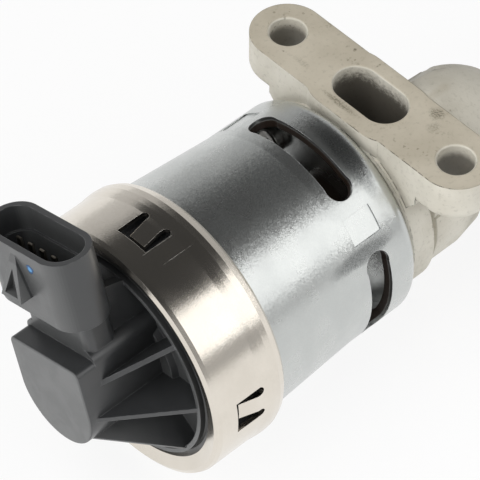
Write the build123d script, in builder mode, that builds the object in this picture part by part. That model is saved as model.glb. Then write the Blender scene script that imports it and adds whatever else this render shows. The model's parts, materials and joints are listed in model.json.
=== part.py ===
from build123d import *
import os
from math import cos, degrees, radians, sin

os.makedirs("parts", exist_ok=True)

# Exhaust gas recirculation valve, all lengths in millimetres.
# The mounting face of the casting is the plane Z = 0, with its outward normal along +Z, and
# the origin lies in it midway between the two bolts.
# The bolt line runs along X. The valve axis runs along Y, below the mounting face.
# The solenoid and the position sensor lie towards -Y, the gas chambers towards +Y.
# Angles about the valve axis are counted in degrees from +Z towards +X.

# Mounting flange of the casting
bolt_spacing = 56.0
bolt_hole_d = 9.0
bolt_hole_chamfer = 0.45
lobe_r = 9.2
flange_t = 11.6
flange_under_r = 3.0
bulge_half_w = 10.0
bulge_shift = -0.4
bulge_spacing = 14.0
port_l = 20.7
port_w = 11.4
port_edge_r = 0.5
axis_drop = 29.1

# Chamber body of the casting, about the valve axis
front_disc_r = 26.1
front_disc_back_y = -3.0
neck_groove_r = 23.7
neck_groove_w = 1.3
body_r = 24.8
body_taper_y = 9.0
body_rear_r = 22.7
body_rear_y = 21.0
body_rear_round = 5.0
shoulder_x = 24.5
shoulder_z = -11.7
shoulder_foot_x = 22.4
shoulder_foot_z = -14.0
shoulder_root_x = 19.0
shoulder_root_z = -19.0

# Gas tube boss behind the flange
boss_x = 10.0
boss_z = -15.0
boss_r = 14.85
boss_start_y = 8.0
boss_round_y = 13.5
boss_middle_r = 13.35
boss_middle_y = 22.2
boss_lip_r = 9.6
boss_lip_y = 28.4
boss_end_y = 29.0
boss_root_r = 2.0
gas_bore_r = 8.0
passage_r = 6.4
passage_start_y = 12.0
passage_end_y = 17.4

# Valve chamber, seat and pintle
chamber_r = 10.2
seat_start_y = 8.0
seat_t = 3.0
seat_outer_r = 9.0
seat_inner_r = 6.0
seat_chamfer = 1.2
seat_gap = 0.01
rear_chamber_r = 7.4
stem_r = 3.0
stem_clearance = 0.03
plug_r = 8.0
plug_land = 1.7
plug_back_y = 2.0
sensing_stem_r = 2.0
lift = 4.5

# Joint between the casting and the solenoid can
can_rear_y = -11.5
gasket_t = 1.0
gasket_r = 24.4
screw_circle_r = 20.5
screw_r = 2.0
screw_clearance = 0.2
screw_head_r = 3.5
screw_head_h = 2.4
screw_socket_r = 1.5
screw_depth = 7.5
tapped_clearance = 0.03

# Stem guide parts
holder_flange_r = 16.0
holder_flange_t = 1.2
holder_clearance = 0.1
holder_front_y = -15.0
holder_back_y = -5.0
holder_tube_r = 7.0
bush_outer_r = 5.0
bush_end_inset = 0.8
scraper_t = 0.8
scraper_r = 6.6
shield_inner_r = 8.2
shield_wall = 0.8

# Solenoid can, a drawn cup with cooling slots
can_wall = 2.2
can_r = 29.2
can_corner_r = 3.0
can_straight_end_y = -30.0
can_swell_y = -53.0
can_swell_r = 30.65
can_front_y = -60.0
can_flange_t = 2.0
can_flange_out = 1.34
slot_rear_y = -20.2
slot_front_y = -26.9
slot_bulb_r = 3.5
slot_wide_angle = 64.8
slot_narrow_angle = 58.8
slot_clock = 2.2
slot_count = 4
pad_clock = 48.3
pad_angle = 13.5
pad_rear_y = -19.6
pad_front_y = -27.8
pad_depth = 0.3

# Magnet circuit
pole_step = 0.6
lower_pole_t = 3.2
core_front_y = -40.5
core_bore_r = 3.6
sleeve_inner_r = 10.5
sleeve_wall = 0.5
sleeve_clearance = 0.06
bobbin_wall = 1.3
bobbin_flange_t = 1.8
bobbin_flange_r = 26.4
coil_r = 25.3
stop_washer_t = 0.4
stop_washer_r = 8.4
armature_rear_y = -41.0
armature_front_gap = 0.3
armature_pocket_r = 6.4
armature_pocket_depth = 8.0
rivet_r = 3.7
rivet_h = 1.5
upper_pole_t = 3.5
upper_pole_gap = 0.4
upper_pole_bore_r = 2.6
return_wire_r = 0.5
return_coil_r = 5.2
return_turns = 5
pintle_end_y = -60.5
coil_pin_w = 0.9
coil_pin_circle_r = 20.0
coil_pin_angle = 12.0
coil_pin_hole_r = 1.6

# Crimp ring, a rolled sheet band
ring_wall = 1.2
ring_rim_gap = 0.6
ring_front_y = -79.2
ring_front_round = 1.5
ring_lip_gap = 1.6
ring_lip_drop = 1.1
ring_kink_y = -65.4
bead_y = -62.0
bead_crown = 0.25
bead_step = 0.9
bead_rear_y = -59.2
crimp_drop = 0.8
crimp_y = -57.0
crimp_end_y = -53.8
crimp_gap = 0.05
tab_clock = -2.5
tab_count = 4
tab_angle = 8.5
window_angle = 16.6
window_rear_y = -64.9
window_front_y = -73.1
tab_end_y = -71.5
tab_push = 1.5

# Plastic sensor cap with the connector. It is clocked about the valve axis, and its own
# directions are U, towards the connector mouth, and V, square to U and to the valve axis.
cap_clock = -16.5
cap_skirt_gap = 0.15
cap_skirt_wall = 4.5
cap_shoulder_y = -76.9
cap_rim_outer_r = 27.2
cap_rim_inner_r = 26.1
cap_rim_y = -78.9
cap_floor_y = -75.0
cap_floor_t = 2.5
housing_half_v = 12.3
housing_front_y = -98.6
housing_step_y = -93.2
housing_front_u = 12.9
housing_back_u = 15.0
housing_wall = 2.2
collar_r = 15.6
collar_h = 1.6
neck_half_v = 11.3
neck_rear_y = -84.6
shroud_half_v = 15.5
shroud_y = -91.0
shroud_w = 13.4
shroud_base_u = 23.9
shroud_top_u = 42.6
shroud_wall = 1.5
shroud_floor_t = 2.6
shroud_ledge_u = 36.0
shroud_ledge = 0.6
latch_v = -1.3
latch_half_v = 3.6
latch_tip_half_v = 0.7
latch_web = 0.9
latch_pocket_drop = 3.4
latch_top_u = 40.7
latch_base_u = 30.2
latch_out = 3.5
web_v = 8.2
web_t = 2.8
web_foot_w = 8.0
rib_t = 1.2
rib_upper_angle = 61.5
rib_side_angle = 99.4
rib_lower_angle = 141.0
rib_upper_y = -94.8
rib_side_y = -96.4

# Position sensor inside the cap
seal_r = 29.5
seal_wire_r = 0.8
guide_r = 14.0
guide_t = 2.2
guide_tube_r = 4.6
guide_front_y = -66.0
guide_clearance = 0.05
head_half_v = 6.0
head_low_u = -5.0
head_high_u = 4.2
head_rear_y = -74.5
head_front_y = -78.5
spring_post_r = 2.3
spring_post_h = 3.0
plunger_wire_r = 0.35
plunger_coil_r = 3.1
plunger_turns = 7
board_u = 6.0
board_t = 1.2
board_half_v = 8.0
board_rear_y = -73.6
board_front_y = -94.6
wiper_gap = 0.05
wiper_t = 0.4
wiper_half_v = 2.4
wiper_front_y = -84.5
blade_count = 5
blade_pitch = 4.2
blade_w = 1.5
blade_t = 0.64
blade_top_u = 38.0

# Positions that follow from the sizes above
axis_z = -axis_drop
casting_front_y = can_rear_y + gasket_t
can_floor_y = can_rear_y - can_wall
swell_slope = (can_swell_r - can_r) / (can_straight_end_y - can_swell_y)
can_front_r = can_r + swell_slope * (can_straight_end_y - can_front_y - can_flange_t)
can_flange_r = can_front_r + can_flange_out
armature_front_y = can_front_y + lift + armature_front_gap
seat_end_y = seat_start_y + seat_t
seat_line = seat_inner_r + seat_chamfer + seat_start_y - seat_gap
pocket_floor_y = armature_front_y + armature_pocket_depth
sleeve_outer_r = sleeve_inner_r + sleeve_wall
bobbin_rear_y = can_straight_end_y - lower_pole_t
bobbin_tube_r = sleeve_outer_r + bobbin_wall
pole_front_y = can_front_y - upper_pole_t
upper_pole_r = can_flange_r - upper_pole_gap
bead_rear_r = can_flange_r + ring_rim_gap + ring_wall
bead_r = bead_rear_r + bead_crown
ring_r = bead_r - bead_step
crimp_r = bead_rear_r - crimp_drop
ring_inner_r = ring_r - ring_wall
ring_lip_r = cap_rim_outer_r + ring_lip_gap
cap_skirt_r = ring_inner_r - cap_skirt_gap
cap_skirt_inner_r = cap_skirt_r - cap_skirt_wall
cap_under_y = cap_floor_y + cap_floor_t
cavity_top_y = housing_front_y + housing_wall
cavity_r = housing_half_v - housing_wall
u_dir = Vector(sin(radians(cap_clock)), 0, cos(radians(cap_clock)))
v_dir = Vector(cos(radians(cap_clock)), 0, -sin(radians(cap_clock)))
axis_point = Vector(0, 0, axis_z)
valve_axis = Axis((0, 0, axis_z), (0, 1, 0))


def radial_plane(angle):
    """Plane through the valve axis: its x runs outwards at the angle, its y along +Y."""
    out = Vector(sin(radians(angle)), 0, cos(radians(angle)))
    side = Vector(-cos(radians(angle)), 0, sin(radians(angle)))
    return Plane(origin=axis_point, x_dir=out, z_dir=side)


def outward_plane(angle, y):
    """Plane square to the outward direction at the angle: its y runs along +Y."""
    out = Vector(sin(radians(angle)), 0, cos(radians(angle)))
    across = Vector(cos(radians(angle)), 0, -sin(radians(angle)))
    return Plane(origin=axis_point + Vector(0, y, 0), x_dir=across, z_dir=out)


def cap_face(y):
    """Plane across the valve axis at y: its x is V, its y is U and it faces the front."""
    return Plane(origin=axis_point + Vector(0, y, 0), x_dir=v_dir, z_dir=(0, -1, 0))


def cap_level(u):
    """Plane square to U at the height u: its x is V and its y runs along +Y."""
    return Plane(origin=axis_point + u_dir * u, x_dir=v_dir, z_dir=u_dir)


def cap_side(v):
    """Plane square to V at the distance v: its x runs along +Y and its y is U."""
    return Plane(origin=axis_point + v_dir * v, x_dir=(0, 1, 0), z_dir=v_dir)


profile = radial_plane(90)
screw_angles = [180, 60, 300]

# Die-cast base: chamber body, mounting flange, port and gas tube boss in one piece
with BuildPart() as base_casting:
    # Flange with two lobes, rounded along its lower edge
    with BuildSketch(Plane.XY.offset(-flange_t)):
        SlotCenterToCenter(bolt_spacing, 2 * lobe_r)
    extrude(amount=flange_t)
    fillet(faces().sort_by(Axis.Z)[0].edges(), radius=flange_under_r)
    # Wider middle of the flange, which runs down to the chamber body
    with BuildSketch(Plane.XY.offset(axis_z)):
        with Locations((0, bulge_shift)):
            SlotCenterToCenter(bulge_spacing, 2 * bulge_half_w)
    extrude(amount=axis_drop)
    # Chamber body about the valve axis
    with BuildSketch(profile):
        with BuildLine():
            Polyline(
                (0, casting_front_y),
                (front_disc_r - 0.5, casting_front_y),
                (front_disc_r, casting_front_y + 0.5),
                (front_disc_r, front_disc_back_y - 0.4),
                (front_disc_r - 0.5, front_disc_back_y),
                (neck_groove_r, front_disc_back_y + 0.3),
                (neck_groove_r, front_disc_back_y + neck_groove_w),
                (body_r, front_disc_back_y + neck_groove_w + 0.6),
                (body_r, body_taper_y),
                (body_rear_r, body_rear_y),
                (0, body_rear_y),
                close=True,
            )
        make_face()
        fillet(vertices().group_by(Axis.Y)[-1].sort_by(Axis.X)[-1], radius=body_rear_round)
    revolve(axis=valve_axis)
    # Shoulders that carry the lobes down to the chamber body
    with BuildSketch(Plane.XZ.offset(-lobe_r)):
        with BuildLine():
            Polyline(
                (shoulder_x, -flange_t / 2),
                (shoulder_x, shoulder_z),
                (shoulder_foot_x, shoulder_foot_z),
                (shoulder_root_x, shoulder_root_z),
                (-shoulder_root_x, shoulder_root_z),
                (-shoulder_foot_x, shoulder_foot_z),
                (-shoulder_x, shoulder_z),
                (-shoulder_x, -flange_t / 2),
                close=True,
            )
        make_face()
    extrude(amount=2 * lobe_r)
    # Gas tube boss behind the flange, drawn in to a round nose
    with BuildSketch(Plane(origin=(boss_x, 0, boss_z), x_dir=(1, 0, 0), z_dir=(0, 0, 1))):
        with BuildLine():
            Polyline((0, boss_start_y), (boss_r, boss_start_y), (boss_r, boss_round_y))
            ThreePointArc(
                (boss_r, boss_round_y), (boss_middle_r, boss_middle_y), (boss_lip_r, boss_lip_y)
            )
            Polyline(
                (boss_lip_r, boss_lip_y), (boss_lip_r - 0.6, boss_end_y), (0, boss_end_y), (0, boss_start_y)
            )
        make_face()
    revolve(axis=Axis((boss_x, 0, boss_z), (0, 1, 0)))
    boss_root = edges(Select.NEW).filter_by_position(Axis.Y, boss_round_y, boss_end_y)
    fillet(boss_root, radius=boss_root_r)
    # Oblong port down to the valve chamber
    with BuildSketch(Plane.XY):
        SlotOverall(port_l, port_w)
    extrude(amount=-axis_drop, mode=Mode.SUBTRACT)
    fillet(edges(Select.LAST).filter_by_position(Axis.Z, -0.01, 0.01), radius=port_edge_r)
    # Bolt holes
    with Locations((-bolt_spacing / 2, 0, 0), (bolt_spacing / 2, 0, 0)):
        Cylinder(
            bolt_hole_d / 2,
            2 * flange_t,
            align=(Align.CENTER, Align.CENTER, Align.MAX),
            mode=Mode.SUBTRACT,
        )
    rims = edges().filter_by(GeomType.CIRCLE).filter_by_position(Axis.Z, -0.01, 0.01)
    bolt_rims = [e for e in rims if abs(e.radius - bolt_hole_d / 2) < 0.01]
    chamfer(bolt_rims, length=bolt_hole_chamfer)
    # Valve chamber, open to the can side, with the seat bore and the rear chamber behind it
    with BuildSketch(profile):
        with BuildLine():
            Polyline(
                (0, casting_front_y),
                (holder_flange_r + holder_clearance, casting_front_y),
                (holder_flange_r + holder_clearance, casting_front_y + holder_flange_t),
                (chamber_r, casting_front_y + holder_flange_t),
                (chamber_r, seat_start_y),
                (seat_outer_r, seat_start_y),
                (seat_outer_r, seat_end_y),
                (rear_chamber_r, seat_end_y),
                (rear_chamber_r, passage_end_y),
                (0, passage_end_y),
                close=True,
            )
        make_face()
    revolve(axis=valve_axis, mode=Mode.SUBTRACT)
    # Slanting passage from the rear chamber to the gas tube
    with BuildSketch(Plane(origin=(0, passage_start_y, 0), x_dir=(1, 0, 0), z_dir=(0, 1, 0))):
        SlotCenterPoint(
            (boss_x / 2, -(axis_z + boss_z) / 2), (boss_x, -boss_z), 2 * passage_r
        )
    extrude(amount=passage_end_y - passage_start_y, mode=Mode.SUBTRACT)
    # Gas tube bore
    with BuildSketch(Plane(origin=(boss_x, boss_end_y, boss_z), x_dir=(1, 0, 0), z_dir=(0, -1, 0))):
        Circle(gas_bore_r)
    extrude(amount=boss_end_y - passage_start_y, mode=Mode.SUBTRACT)
    # Tapped holes for the base screws
    for angle in screw_angles:
        spot = axis_point + radial_plane(angle).x_dir * screw_circle_r
        with BuildSketch(Plane(origin=spot + Vector(0, casting_front_y, 0), z_dir=(0, 1, 0))):
            Circle(screw_r + tapped_clearance)
        extrude(amount=screw_depth + 0.5, mode=Mode.SUBTRACT)
base_casting.part.label = "base_casting"
export_step(base_casting.part, "parts/base_casting.step")

# Valve seat ring, pressed into the casting, with a conical mouth for the plug
with BuildPart() as valve_seat:
    with BuildSketch(profile):
        with BuildLine():
            Polyline(
                (seat_inner_r + seat_chamfer, seat_start_y),
                (seat_outer_r, seat_start_y),
                (seat_outer_r, seat_end_y),
                (seat_inner_r, seat_end_y),
                (seat_inner_r, seat_start_y + seat_chamfer),
                close=True,
            )
        make_face()
    revolve(axis=valve_axis)
valve_seat.part.label = "valve_seat"
export_step(valve_seat.part, "parts/valve_seat.step")

# Pintle: conical plug, long guided stem, riveted shoulder and thin sensing end
with BuildPart() as pintle:
    with BuildSketch(profile):
        with BuildLine():
            Polyline(
                (0, pintle_end_y),
                (sensing_stem_r - 0.4, pintle_end_y),
                (sensing_stem_r, pintle_end_y + 0.4),
                (sensing_stem_r, pocket_floor_y - rivet_h),
                (rivet_r - 0.6, pocket_floor_y - rivet_h),
                (rivet_r, pocket_floor_y - rivet_h + 0.6),
                (rivet_r, pocket_floor_y),
                (stem_r, pocket_floor_y),
                (stem_r, plug_back_y),
                (plug_r, seat_line - plug_r - plug_land),
                (plug_r, seat_line - plug_r),
                (seat_inner_r - 0.6, seat_line - seat_inner_r + 0.6),
                (seat_inner_r - 2.6, seat_line - seat_inner_r + 1.6),
                (0, seat_line - seat_inner_r + 1.9),
                close=True,
            )
        make_face()
    revolve(axis=valve_axis)
pintle.part.label = "pintle"
export_step(pintle.part, "parts/pintle.step")

# Bush that guides the stem
with BuildPart() as stem_bush:
    with BuildSketch(profile):
        with BuildLine():
            Polyline(
                (stem_r + stem_clearance, holder_front_y + bush_end_inset),
                (bush_outer_r, holder_front_y + bush_end_inset),
                (bush_outer_r, holder_back_y),
                (stem_r + stem_clearance, holder_back_y),
                close=True,
            )
        make_face()
    revolve(axis=valve_axis)
stem_bush.part.label = "stem_bush"
export_step(stem_bush.part, "parts/stem_bush.step")

# Bush holder: flanged tube that closes the valve chamber towards the can
with BuildPart() as bush_holder:
    with BuildSketch(profile):
        with BuildLine():
            Polyline(
                (bush_outer_r, holder_front_y),
                (holder_tube_r, holder_front_y),
                (holder_tube_r, casting_front_y),
                (holder_flange_r, casting_front_y),
                (holder_flange_r, casting_front_y + holder_flange_t),
                (chamber_r - holder_clearance, casting_front_y + holder_flange_t),
                (chamber_r - holder_clearance, holder_back_y - 0.8),
                (chamber_r - holder_clearance - 0.8, holder_back_y),
                (bush_outer_r, holder_back_y),
                close=True,
            )
        make_face()
    revolve(axis=valve_axis)
bush_holder.part.label = "bush_holder"
export_step(bush_holder.part, "parts/bush_holder.step")

# Scraper washer that wipes the stem on the gas side
with BuildPart() as stem_scraper:
    with BuildSketch(Plane(origin=(0, holder_back_y, axis_z), z_dir=(0, 1, 0))):
        Circle(scraper_r)
        Circle(stem_r + 2 * stem_clearance, mode=Mode.SUBTRACT)
    extrude(amount=scraper_t)
stem_scraper.part.label = "stem_scraper"
export_step(stem_scraper.part, "parts/stem_scraper.step")

# Gasket between casting and can
with BuildPart() as base_gasket:
    with BuildSketch(Plane(origin=(0, can_rear_y, axis_z), z_dir=(0, 1, 0))):
        Circle(gasket_r)
        Circle(holder_tube_r + holder_clearance, mode=Mode.SUBTRACT)
    extrude(amount=gasket_t)
    for angle in screw_angles:
        spot = axis_point + radial_plane(angle).x_dir * screw_circle_r
        with BuildSketch(Plane(origin=spot + Vector(0, can_rear_y, 0), z_dir=(0, 1, 0))):
            Circle(screw_r + screw_clearance)
        extrude(amount=gasket_t, mode=Mode.SUBTRACT)
base_gasket.part.label = "base_gasket"
export_step(base_gasket.part, "parts/base_gasket.step")

# Solenoid can: drawn cup with a slightly swelling wall and an outward rim at its front
with BuildPart() as solenoid_can:
    with BuildSketch(profile):
        with BuildLine():
            Polyline(
                (holder_tube_r + holder_clearance, can_rear_y),
                (can_r, can_rear_y),
                (can_r, can_straight_end_y),
                (can_front_r, can_front_y + can_flange_t),
                (can_flange_r, can_front_y + can_flange_t),
                (can_flange_r, can_front_y),
                (can_front_r - can_wall, can_front_y),
                (can_r - can_wall + 0.4, can_straight_end_y),
                (can_r - can_wall - pole_step, can_straight_end_y),
                (can_r - can_wall - pole_step, can_floor_y),
                (holder_tube_r + holder_clearance, can_floor_y),
                close=True,
            )
        make_face()
        fillet(vertices().group_by(Axis.Y)[-1].sort_by(Axis.X)[-1], radius=can_corner_r)
    revolve(axis=valve_axis)
    # Cooling slots with round ends
    bulb_inset = degrees(slot_bulb_r / can_r)
    for index in range(slot_count):
        middle = slot_clock + 360 / slot_count * index
        whole_angle = slot_wide_angle if index % 2 == 0 else slot_narrow_angle
        bulb_angle = whole_angle - 2 * bulb_inset
        with BuildSketch(radial_plane(middle - bulb_angle / 2)):
            with Locations((can_r - can_wall / 2, (slot_rear_y + slot_front_y) / 2)):
                Rectangle(5 * can_wall, slot_rear_y - slot_front_y)
        revolve(axis=valve_axis, revolution_arc=bulb_angle, mode=Mode.SUBTRACT)
        for end in (middle - bulb_angle / 2, middle + bulb_angle / 2):
            with BuildSketch(outward_plane(end, (slot_rear_y + slot_front_y) / 2)):
                Circle(slot_bulb_r)
            extrude(amount=can_r + can_wall, mode=Mode.SUBTRACT)
    # Shallow pressed pads between the slots
    for index in range(slot_count):
        start = pad_clock - pad_angle / 2 + 360 / slot_count * index
        with BuildSketch(radial_plane(start)):
            with Locations((can_r - pad_depth + can_wall / 2, (pad_rear_y + pad_front_y) / 2)):
                Rectangle(can_wall, pad_rear_y - pad_front_y)
        revolve(axis=valve_axis, revolution_arc=pad_angle, mode=Mode.SUBTRACT)
    # Holes for the base screws in the floor
    for angle in screw_angles:
        spot = axis_point + radial_plane(angle).x_dir * screw_circle_r
        with BuildSketch(Plane(origin=spot + Vector(0, can_floor_y - 0.5, 0), z_dir=(0, 1, 0))):
            Circle(screw_r + screw_clearance)
        extrude(amount=can_wall + 1, mode=Mode.SUBTRACT)
solenoid_can.part.label = "solenoid_can"
export_step(solenoid_can.part, "parts/solenoid_can.step")

# Screws that hold the can to the casting, heads inside the can
with BuildPart() as base_screws:
    for angle in screw_angles:
        spot = axis_point + radial_plane(angle).x_dir * screw_circle_r
        with BuildSketch(Plane(origin=spot + Vector(0, can_floor_y, 0), z_dir=(0, -1, 0))):
            Circle(screw_head_r)
        extrude(amount=screw_head_h)
        with BuildSketch(Plane(origin=spot + Vector(0, can_floor_y, 0), z_dir=(0, 1, 0))):
            Circle(screw_r)
        extrude(amount=can_wall + gasket_t + screw_depth)
        with BuildSketch(
            Plane(origin=spot + Vector(0, can_floor_y - screw_head_h, 0), z_dir=(0, 1, 0))
        ):
            RegularPolygon(screw_socket_r, 6)
        extrude(amount=screw_head_h * 0.6, mode=Mode.SUBTRACT)
    head_rims = edges().filter_by(GeomType.CIRCLE).group_by(Axis.Y)[0]
    fillet([e for e in head_rims if abs(e.radius - screw_head_r) < 0.01], radius=0.7)
base_screws.part.label = "base_screws"
export_step(base_screws.part, "parts/base_screws.step")

# Tube that screens the stem between the can floor and the lower pole
with BuildPart() as stem_shield:
    with BuildSketch(Plane(origin=(0, can_straight_end_y, axis_z), z_dir=(0, 1, 0))):
        Circle(shield_inner_r + shield_wall)
        Circle(shield_inner_r, mode=Mode.SUBTRACT)
    extrude(amount=can_floor_y - can_straight_end_y)
stem_shield.part.label = "stem_shield"
export_step(stem_shield.part, "parts/stem_shield.step")

# Lower pole piece: disc seated on the step of the can, with a core inside the coil
with BuildPart() as lower_pole:
    with BuildSketch(profile):
        with BuildLine():
            Polyline(
                (core_bore_r, can_straight_end_y),
                (can_r - can_wall + 0.35, can_straight_end_y),
                (can_r - can_wall + 0.35, bobbin_rear_y),
                (sleeve_inner_r - sleeve_clearance, bobbin_rear_y),
                (sleeve_inner_r - sleeve_clearance, core_front_y + 1.2),
                (sleeve_inner_r - sleeve_clearance - 1.2, core_front_y),
                (core_bore_r, core_front_y),
                close=True,
            )
        make_face()
    revolve(axis=valve_axis)
lower_pole.part.label = "lower_pole"
export_step(lower_pole.part, "parts/lower_pole.step")

# Thin non-magnetic washer on the core, against which the armature could come to rest
with BuildPart() as stop_washer:
    with BuildSketch(Plane(origin=(0, core_front_y - stop_washer_t, axis_z), z_dir=(0, 1, 0))):
        Circle(stop_washer_r)
        Circle(core_bore_r, mode=Mode.SUBTRACT)
    extrude(amount=stop_washer_t)
stop_washer.part.label = "stop_washer"
export_step(stop_washer.part, "parts/stop_washer.step")

# Sleeve in which the armature slides
with BuildPart() as armature_sleeve:
    with BuildSketch(Plane(origin=(0, can_front_y, axis_z), z_dir=(0, 1, 0))):
        Circle(sleeve_outer_r)
        Circle(sleeve_inner_r, mode=Mode.SUBTRACT)
    extrude(amount=bobbin_rear_y - can_front_y)
armature_sleeve.part.label = "armature_sleeve"
export_step(armature_sleeve.part, "parts/armature_sleeve.step")

# Armature, riveted to the pintle, with a pocket for the return spring
with BuildPart() as armature:
    with BuildSketch(profile):
        with BuildLine():
            Polyline(
                (stem_r, armature_rear_y),
                (sleeve_inner_r - sleeve_clearance - 0.8, armature_rear_y),
                (sleeve_inner_r - sleeve_clearance, armature_rear_y - 0.8),
                (sleeve_inner_r - sleeve_clearance, armature_front_y + 0.8),
                (sleeve_inner_r - sleeve_clearance - 0.8, armature_front_y),
                (armature_pocket_r, armature_front_y),
                (armature_pocket_r, pocket_floor_y),
                (stem_r, pocket_floor_y),
                close=True,
            )
        make_face()
    revolve(axis=valve_axis)
armature.part.label = "armature"
export_step(armature.part, "parts/armature.step")

# Return spring between the armature pocket and the upper pole
with BuildPart() as return_spring:
    return_height = pocket_floor_y - can_front_y - 2 * return_wire_r
    with BuildLine() as return_path:
        Helix(
            pitch=return_height / return_turns,
            height=return_height,
            radius=return_coil_r,
            center=(0, can_front_y + return_wire_r, axis_z),
            direction=(0, 1, 0),
        )
    with BuildSketch(Plane(origin=return_path.line @ 0, z_dir=return_path.line % 0)):
        Circle(return_wire_r)
    sweep()
return_spring.part.label = "return_spring"
export_step(return_spring.part, "parts/return_spring.step")

# Bobbin of the coil
with BuildPart() as bobbin:
    with BuildSketch(profile):
        with BuildLine():
            Polyline(
                (sleeve_outer_r, bobbin_rear_y),
                (bobbin_flange_r, bobbin_rear_y),
                (bobbin_flange_r, bobbin_rear_y - bobbin_flange_t),
                (bobbin_tube_r, bobbin_rear_y - bobbin_flange_t),
                (bobbin_tube_r, can_front_y + bobbin_flange_t),
                (bobbin_flange_r, can_front_y + bobbin_flange_t),
                (bobbin_flange_r, can_front_y),
                (sleeve_outer_r, can_front_y),
                close=True,
            )
        make_face()
    revolve(axis=valve_axis)
    # Sockets of the two coil pins
    for side in (-1, 1):
        pin_x = radial_plane(180 + side * coil_pin_angle).x_dir * coil_pin_circle_r
        with BuildSketch(Plane(origin=axis_point + pin_x + Vector(0, can_front_y, 0), z_dir=(0, 1, 0))):
            Rectangle(coil_pin_w, coil_pin_w)
        extrude(amount=bobbin_flange_t, mode=Mode.SUBTRACT)
bobbin.part.label = "bobbin"
export_step(bobbin.part, "parts/bobbin.step")

# Winding
with BuildPart() as coil:
    with BuildSketch(Plane(origin=(0, can_front_y + bobbin_flange_t, axis_z), z_dir=(0, 1, 0))):
        Circle(coil_r)
        Circle(bobbin_tube_r, mode=Mode.SUBTRACT)
    extrude(amount=bobbin_rear_y - can_front_y - 2 * bobbin_flange_t)
coil.part.label = "coil"
export_step(coil.part, "parts/coil.step")

# Pins that lead the coil ends up into the cap
with BuildPart() as coil_pins:
    for side in (-1, 1):
        pin_x = radial_plane(180 + side * coil_pin_angle).x_dir * coil_pin_circle_r
        foot_y = can_front_y + bobbin_flange_t
        with BuildSketch(Plane(origin=axis_point + pin_x + Vector(0, foot_y, 0), z_dir=(0, -1, 0))):
            Rectangle(coil_pin_w, coil_pin_w)
        extrude(amount=foot_y - cap_under_y)
coil_pins.part.label = "coil_pins"
export_step(coil_pins.part, "parts/coil_pins.step")

# Upper pole piece, clamped between the can rim and the cap
with BuildPart() as upper_pole:
    with BuildSketch(Plane(origin=(0, pole_front_y, axis_z), z_dir=(0, 1, 0))):
        Circle(upper_pole_r)
        Circle(upper_pole_bore_r, mode=Mode.SUBTRACT)
    extrude(amount=upper_pole_t)
    for side in (-1, 1):
        pin_x = radial_plane(180 + side * coil_pin_angle).x_dir * coil_pin_circle_r
        with BuildSketch(Plane(origin=axis_point + pin_x + Vector(0, pole_front_y, 0), z_dir=(0, 1, 0))):
            Circle(coil_pin_hole_r)
        extrude(amount=upper_pole_t, mode=Mode.SUBTRACT)
upper_pole.part.label = "upper_pole"
export_step(upper_pole.part, "parts/upper_pole.step")

# Crimp ring: sheet band with a beaded rear edge curled behind the can rim, an inward lip
# over the cap shoulder, and four lanced tabs bent inwards in U-shaped windows
with BuildPart() as crimp_ring:
    lip_y = ring_front_y + ring_lip_drop
    with BuildSketch(profile):
        with BuildLine():
            Polyline(
                (ring_lip_r, lip_y + ring_wall),
                (ring_lip_r, lip_y),
                (ring_r - ring_front_round, ring_front_y),
                (ring_r - 0.3 * ring_front_round, ring_front_y + 0.35 * ring_front_round),
                (ring_r, ring_front_y + ring_front_round),
                (ring_r, ring_kink_y),
                (bead_r - 0.35, bead_y - 1.6),
                (bead_r, bead_y),
                (bead_rear_r, bead_rear_y),
                (crimp_r, crimp_y),
                (crimp_r - 1.45, crimp_y + 2.1),
                (can_r + swell_slope * (can_straight_end_y - crimp_end_y) + crimp_gap, crimp_end_y),
                (can_r + swell_slope * (can_straight_end_y - crimp_y) + crimp_gap, crimp_y + 0.5),
                (can_front_r + crimp_gap, can_front_y + can_flange_t + crimp_gap),
                (can_flange_r, can_front_y + can_flange_t + crimp_gap),
                (bead_rear_r - ring_wall, bead_rear_y),
                (bead_r - ring_wall, bead_y),
                (ring_inner_r, ring_kink_y - 0.3),
                (ring_inner_r, ring_front_y + ring_front_round),
                (ring_inner_r - 0.6, ring_front_y + ring_wall + 0.1),
                close=True,
            )
        make_face()
    revolve(axis=valve_axis)
    slit_angle = (window_angle - tab_angle) / 2
    slit_r = radians(slit_angle) * ring_r / 2
    for index in range(tab_count):
        middle = tab_clock + 360 / tab_count * index
        # Window through the band
        with BuildSketch(radial_plane(middle - window_angle / 2)):
            with Locations((ring_r, (window_rear_y - slit_r + window_front_y) / 2)):
                Rectangle(4 * ring_wall, window_rear_y - slit_r - window_front_y)
        revolve(axis=valve_axis, revolution_arc=window_angle, mode=Mode.SUBTRACT)
        for side in (-1, 1):
            slit_middle = middle + side * (tab_angle + slit_angle) / 2
            with BuildSketch(outward_plane(slit_middle, window_rear_y - slit_r)):
                Circle(slit_r)
            extrude(amount=ring_r + 4, mode=Mode.SUBTRACT)
        # Tab, bent inwards from its root at the rear of the window
        with BuildSketch(radial_plane(middle - tab_angle / 2)):
            with BuildLine():
                Polyline(
                    (ring_r, window_rear_y - slit_r / 2),
                    (ring_inner_r, window_rear_y - slit_r / 2),
                    (ring_inner_r, window_rear_y - 1.5 * slit_r),
                    (ring_inner_r - tab_push, tab_end_y),
                    (ring_r - tab_push, tab_end_y),
                    (ring_r, window_rear_y - 1.5 * slit_r),
                    close=True,
                )
            make_face()
        revolve(axis=valve_axis, revolution_arc=tab_angle)
crimp_ring.part.label = "crimp_ring"
export_step(crimp_ring.part, "parts/crimp_ring.step")

# Sealing ring between cap and upper pole
with BuildPart() as cap_seal:
    with BuildSketch(profile):
        with Locations((seal_r, pole_front_y - seal_wire_r)):
            Circle(seal_wire_r)
    revolve(axis=valve_axis)
cap_seal.part.label = "cap_seal"
export_step(cap_seal.part, "parts/cap_seal.step")

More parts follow.
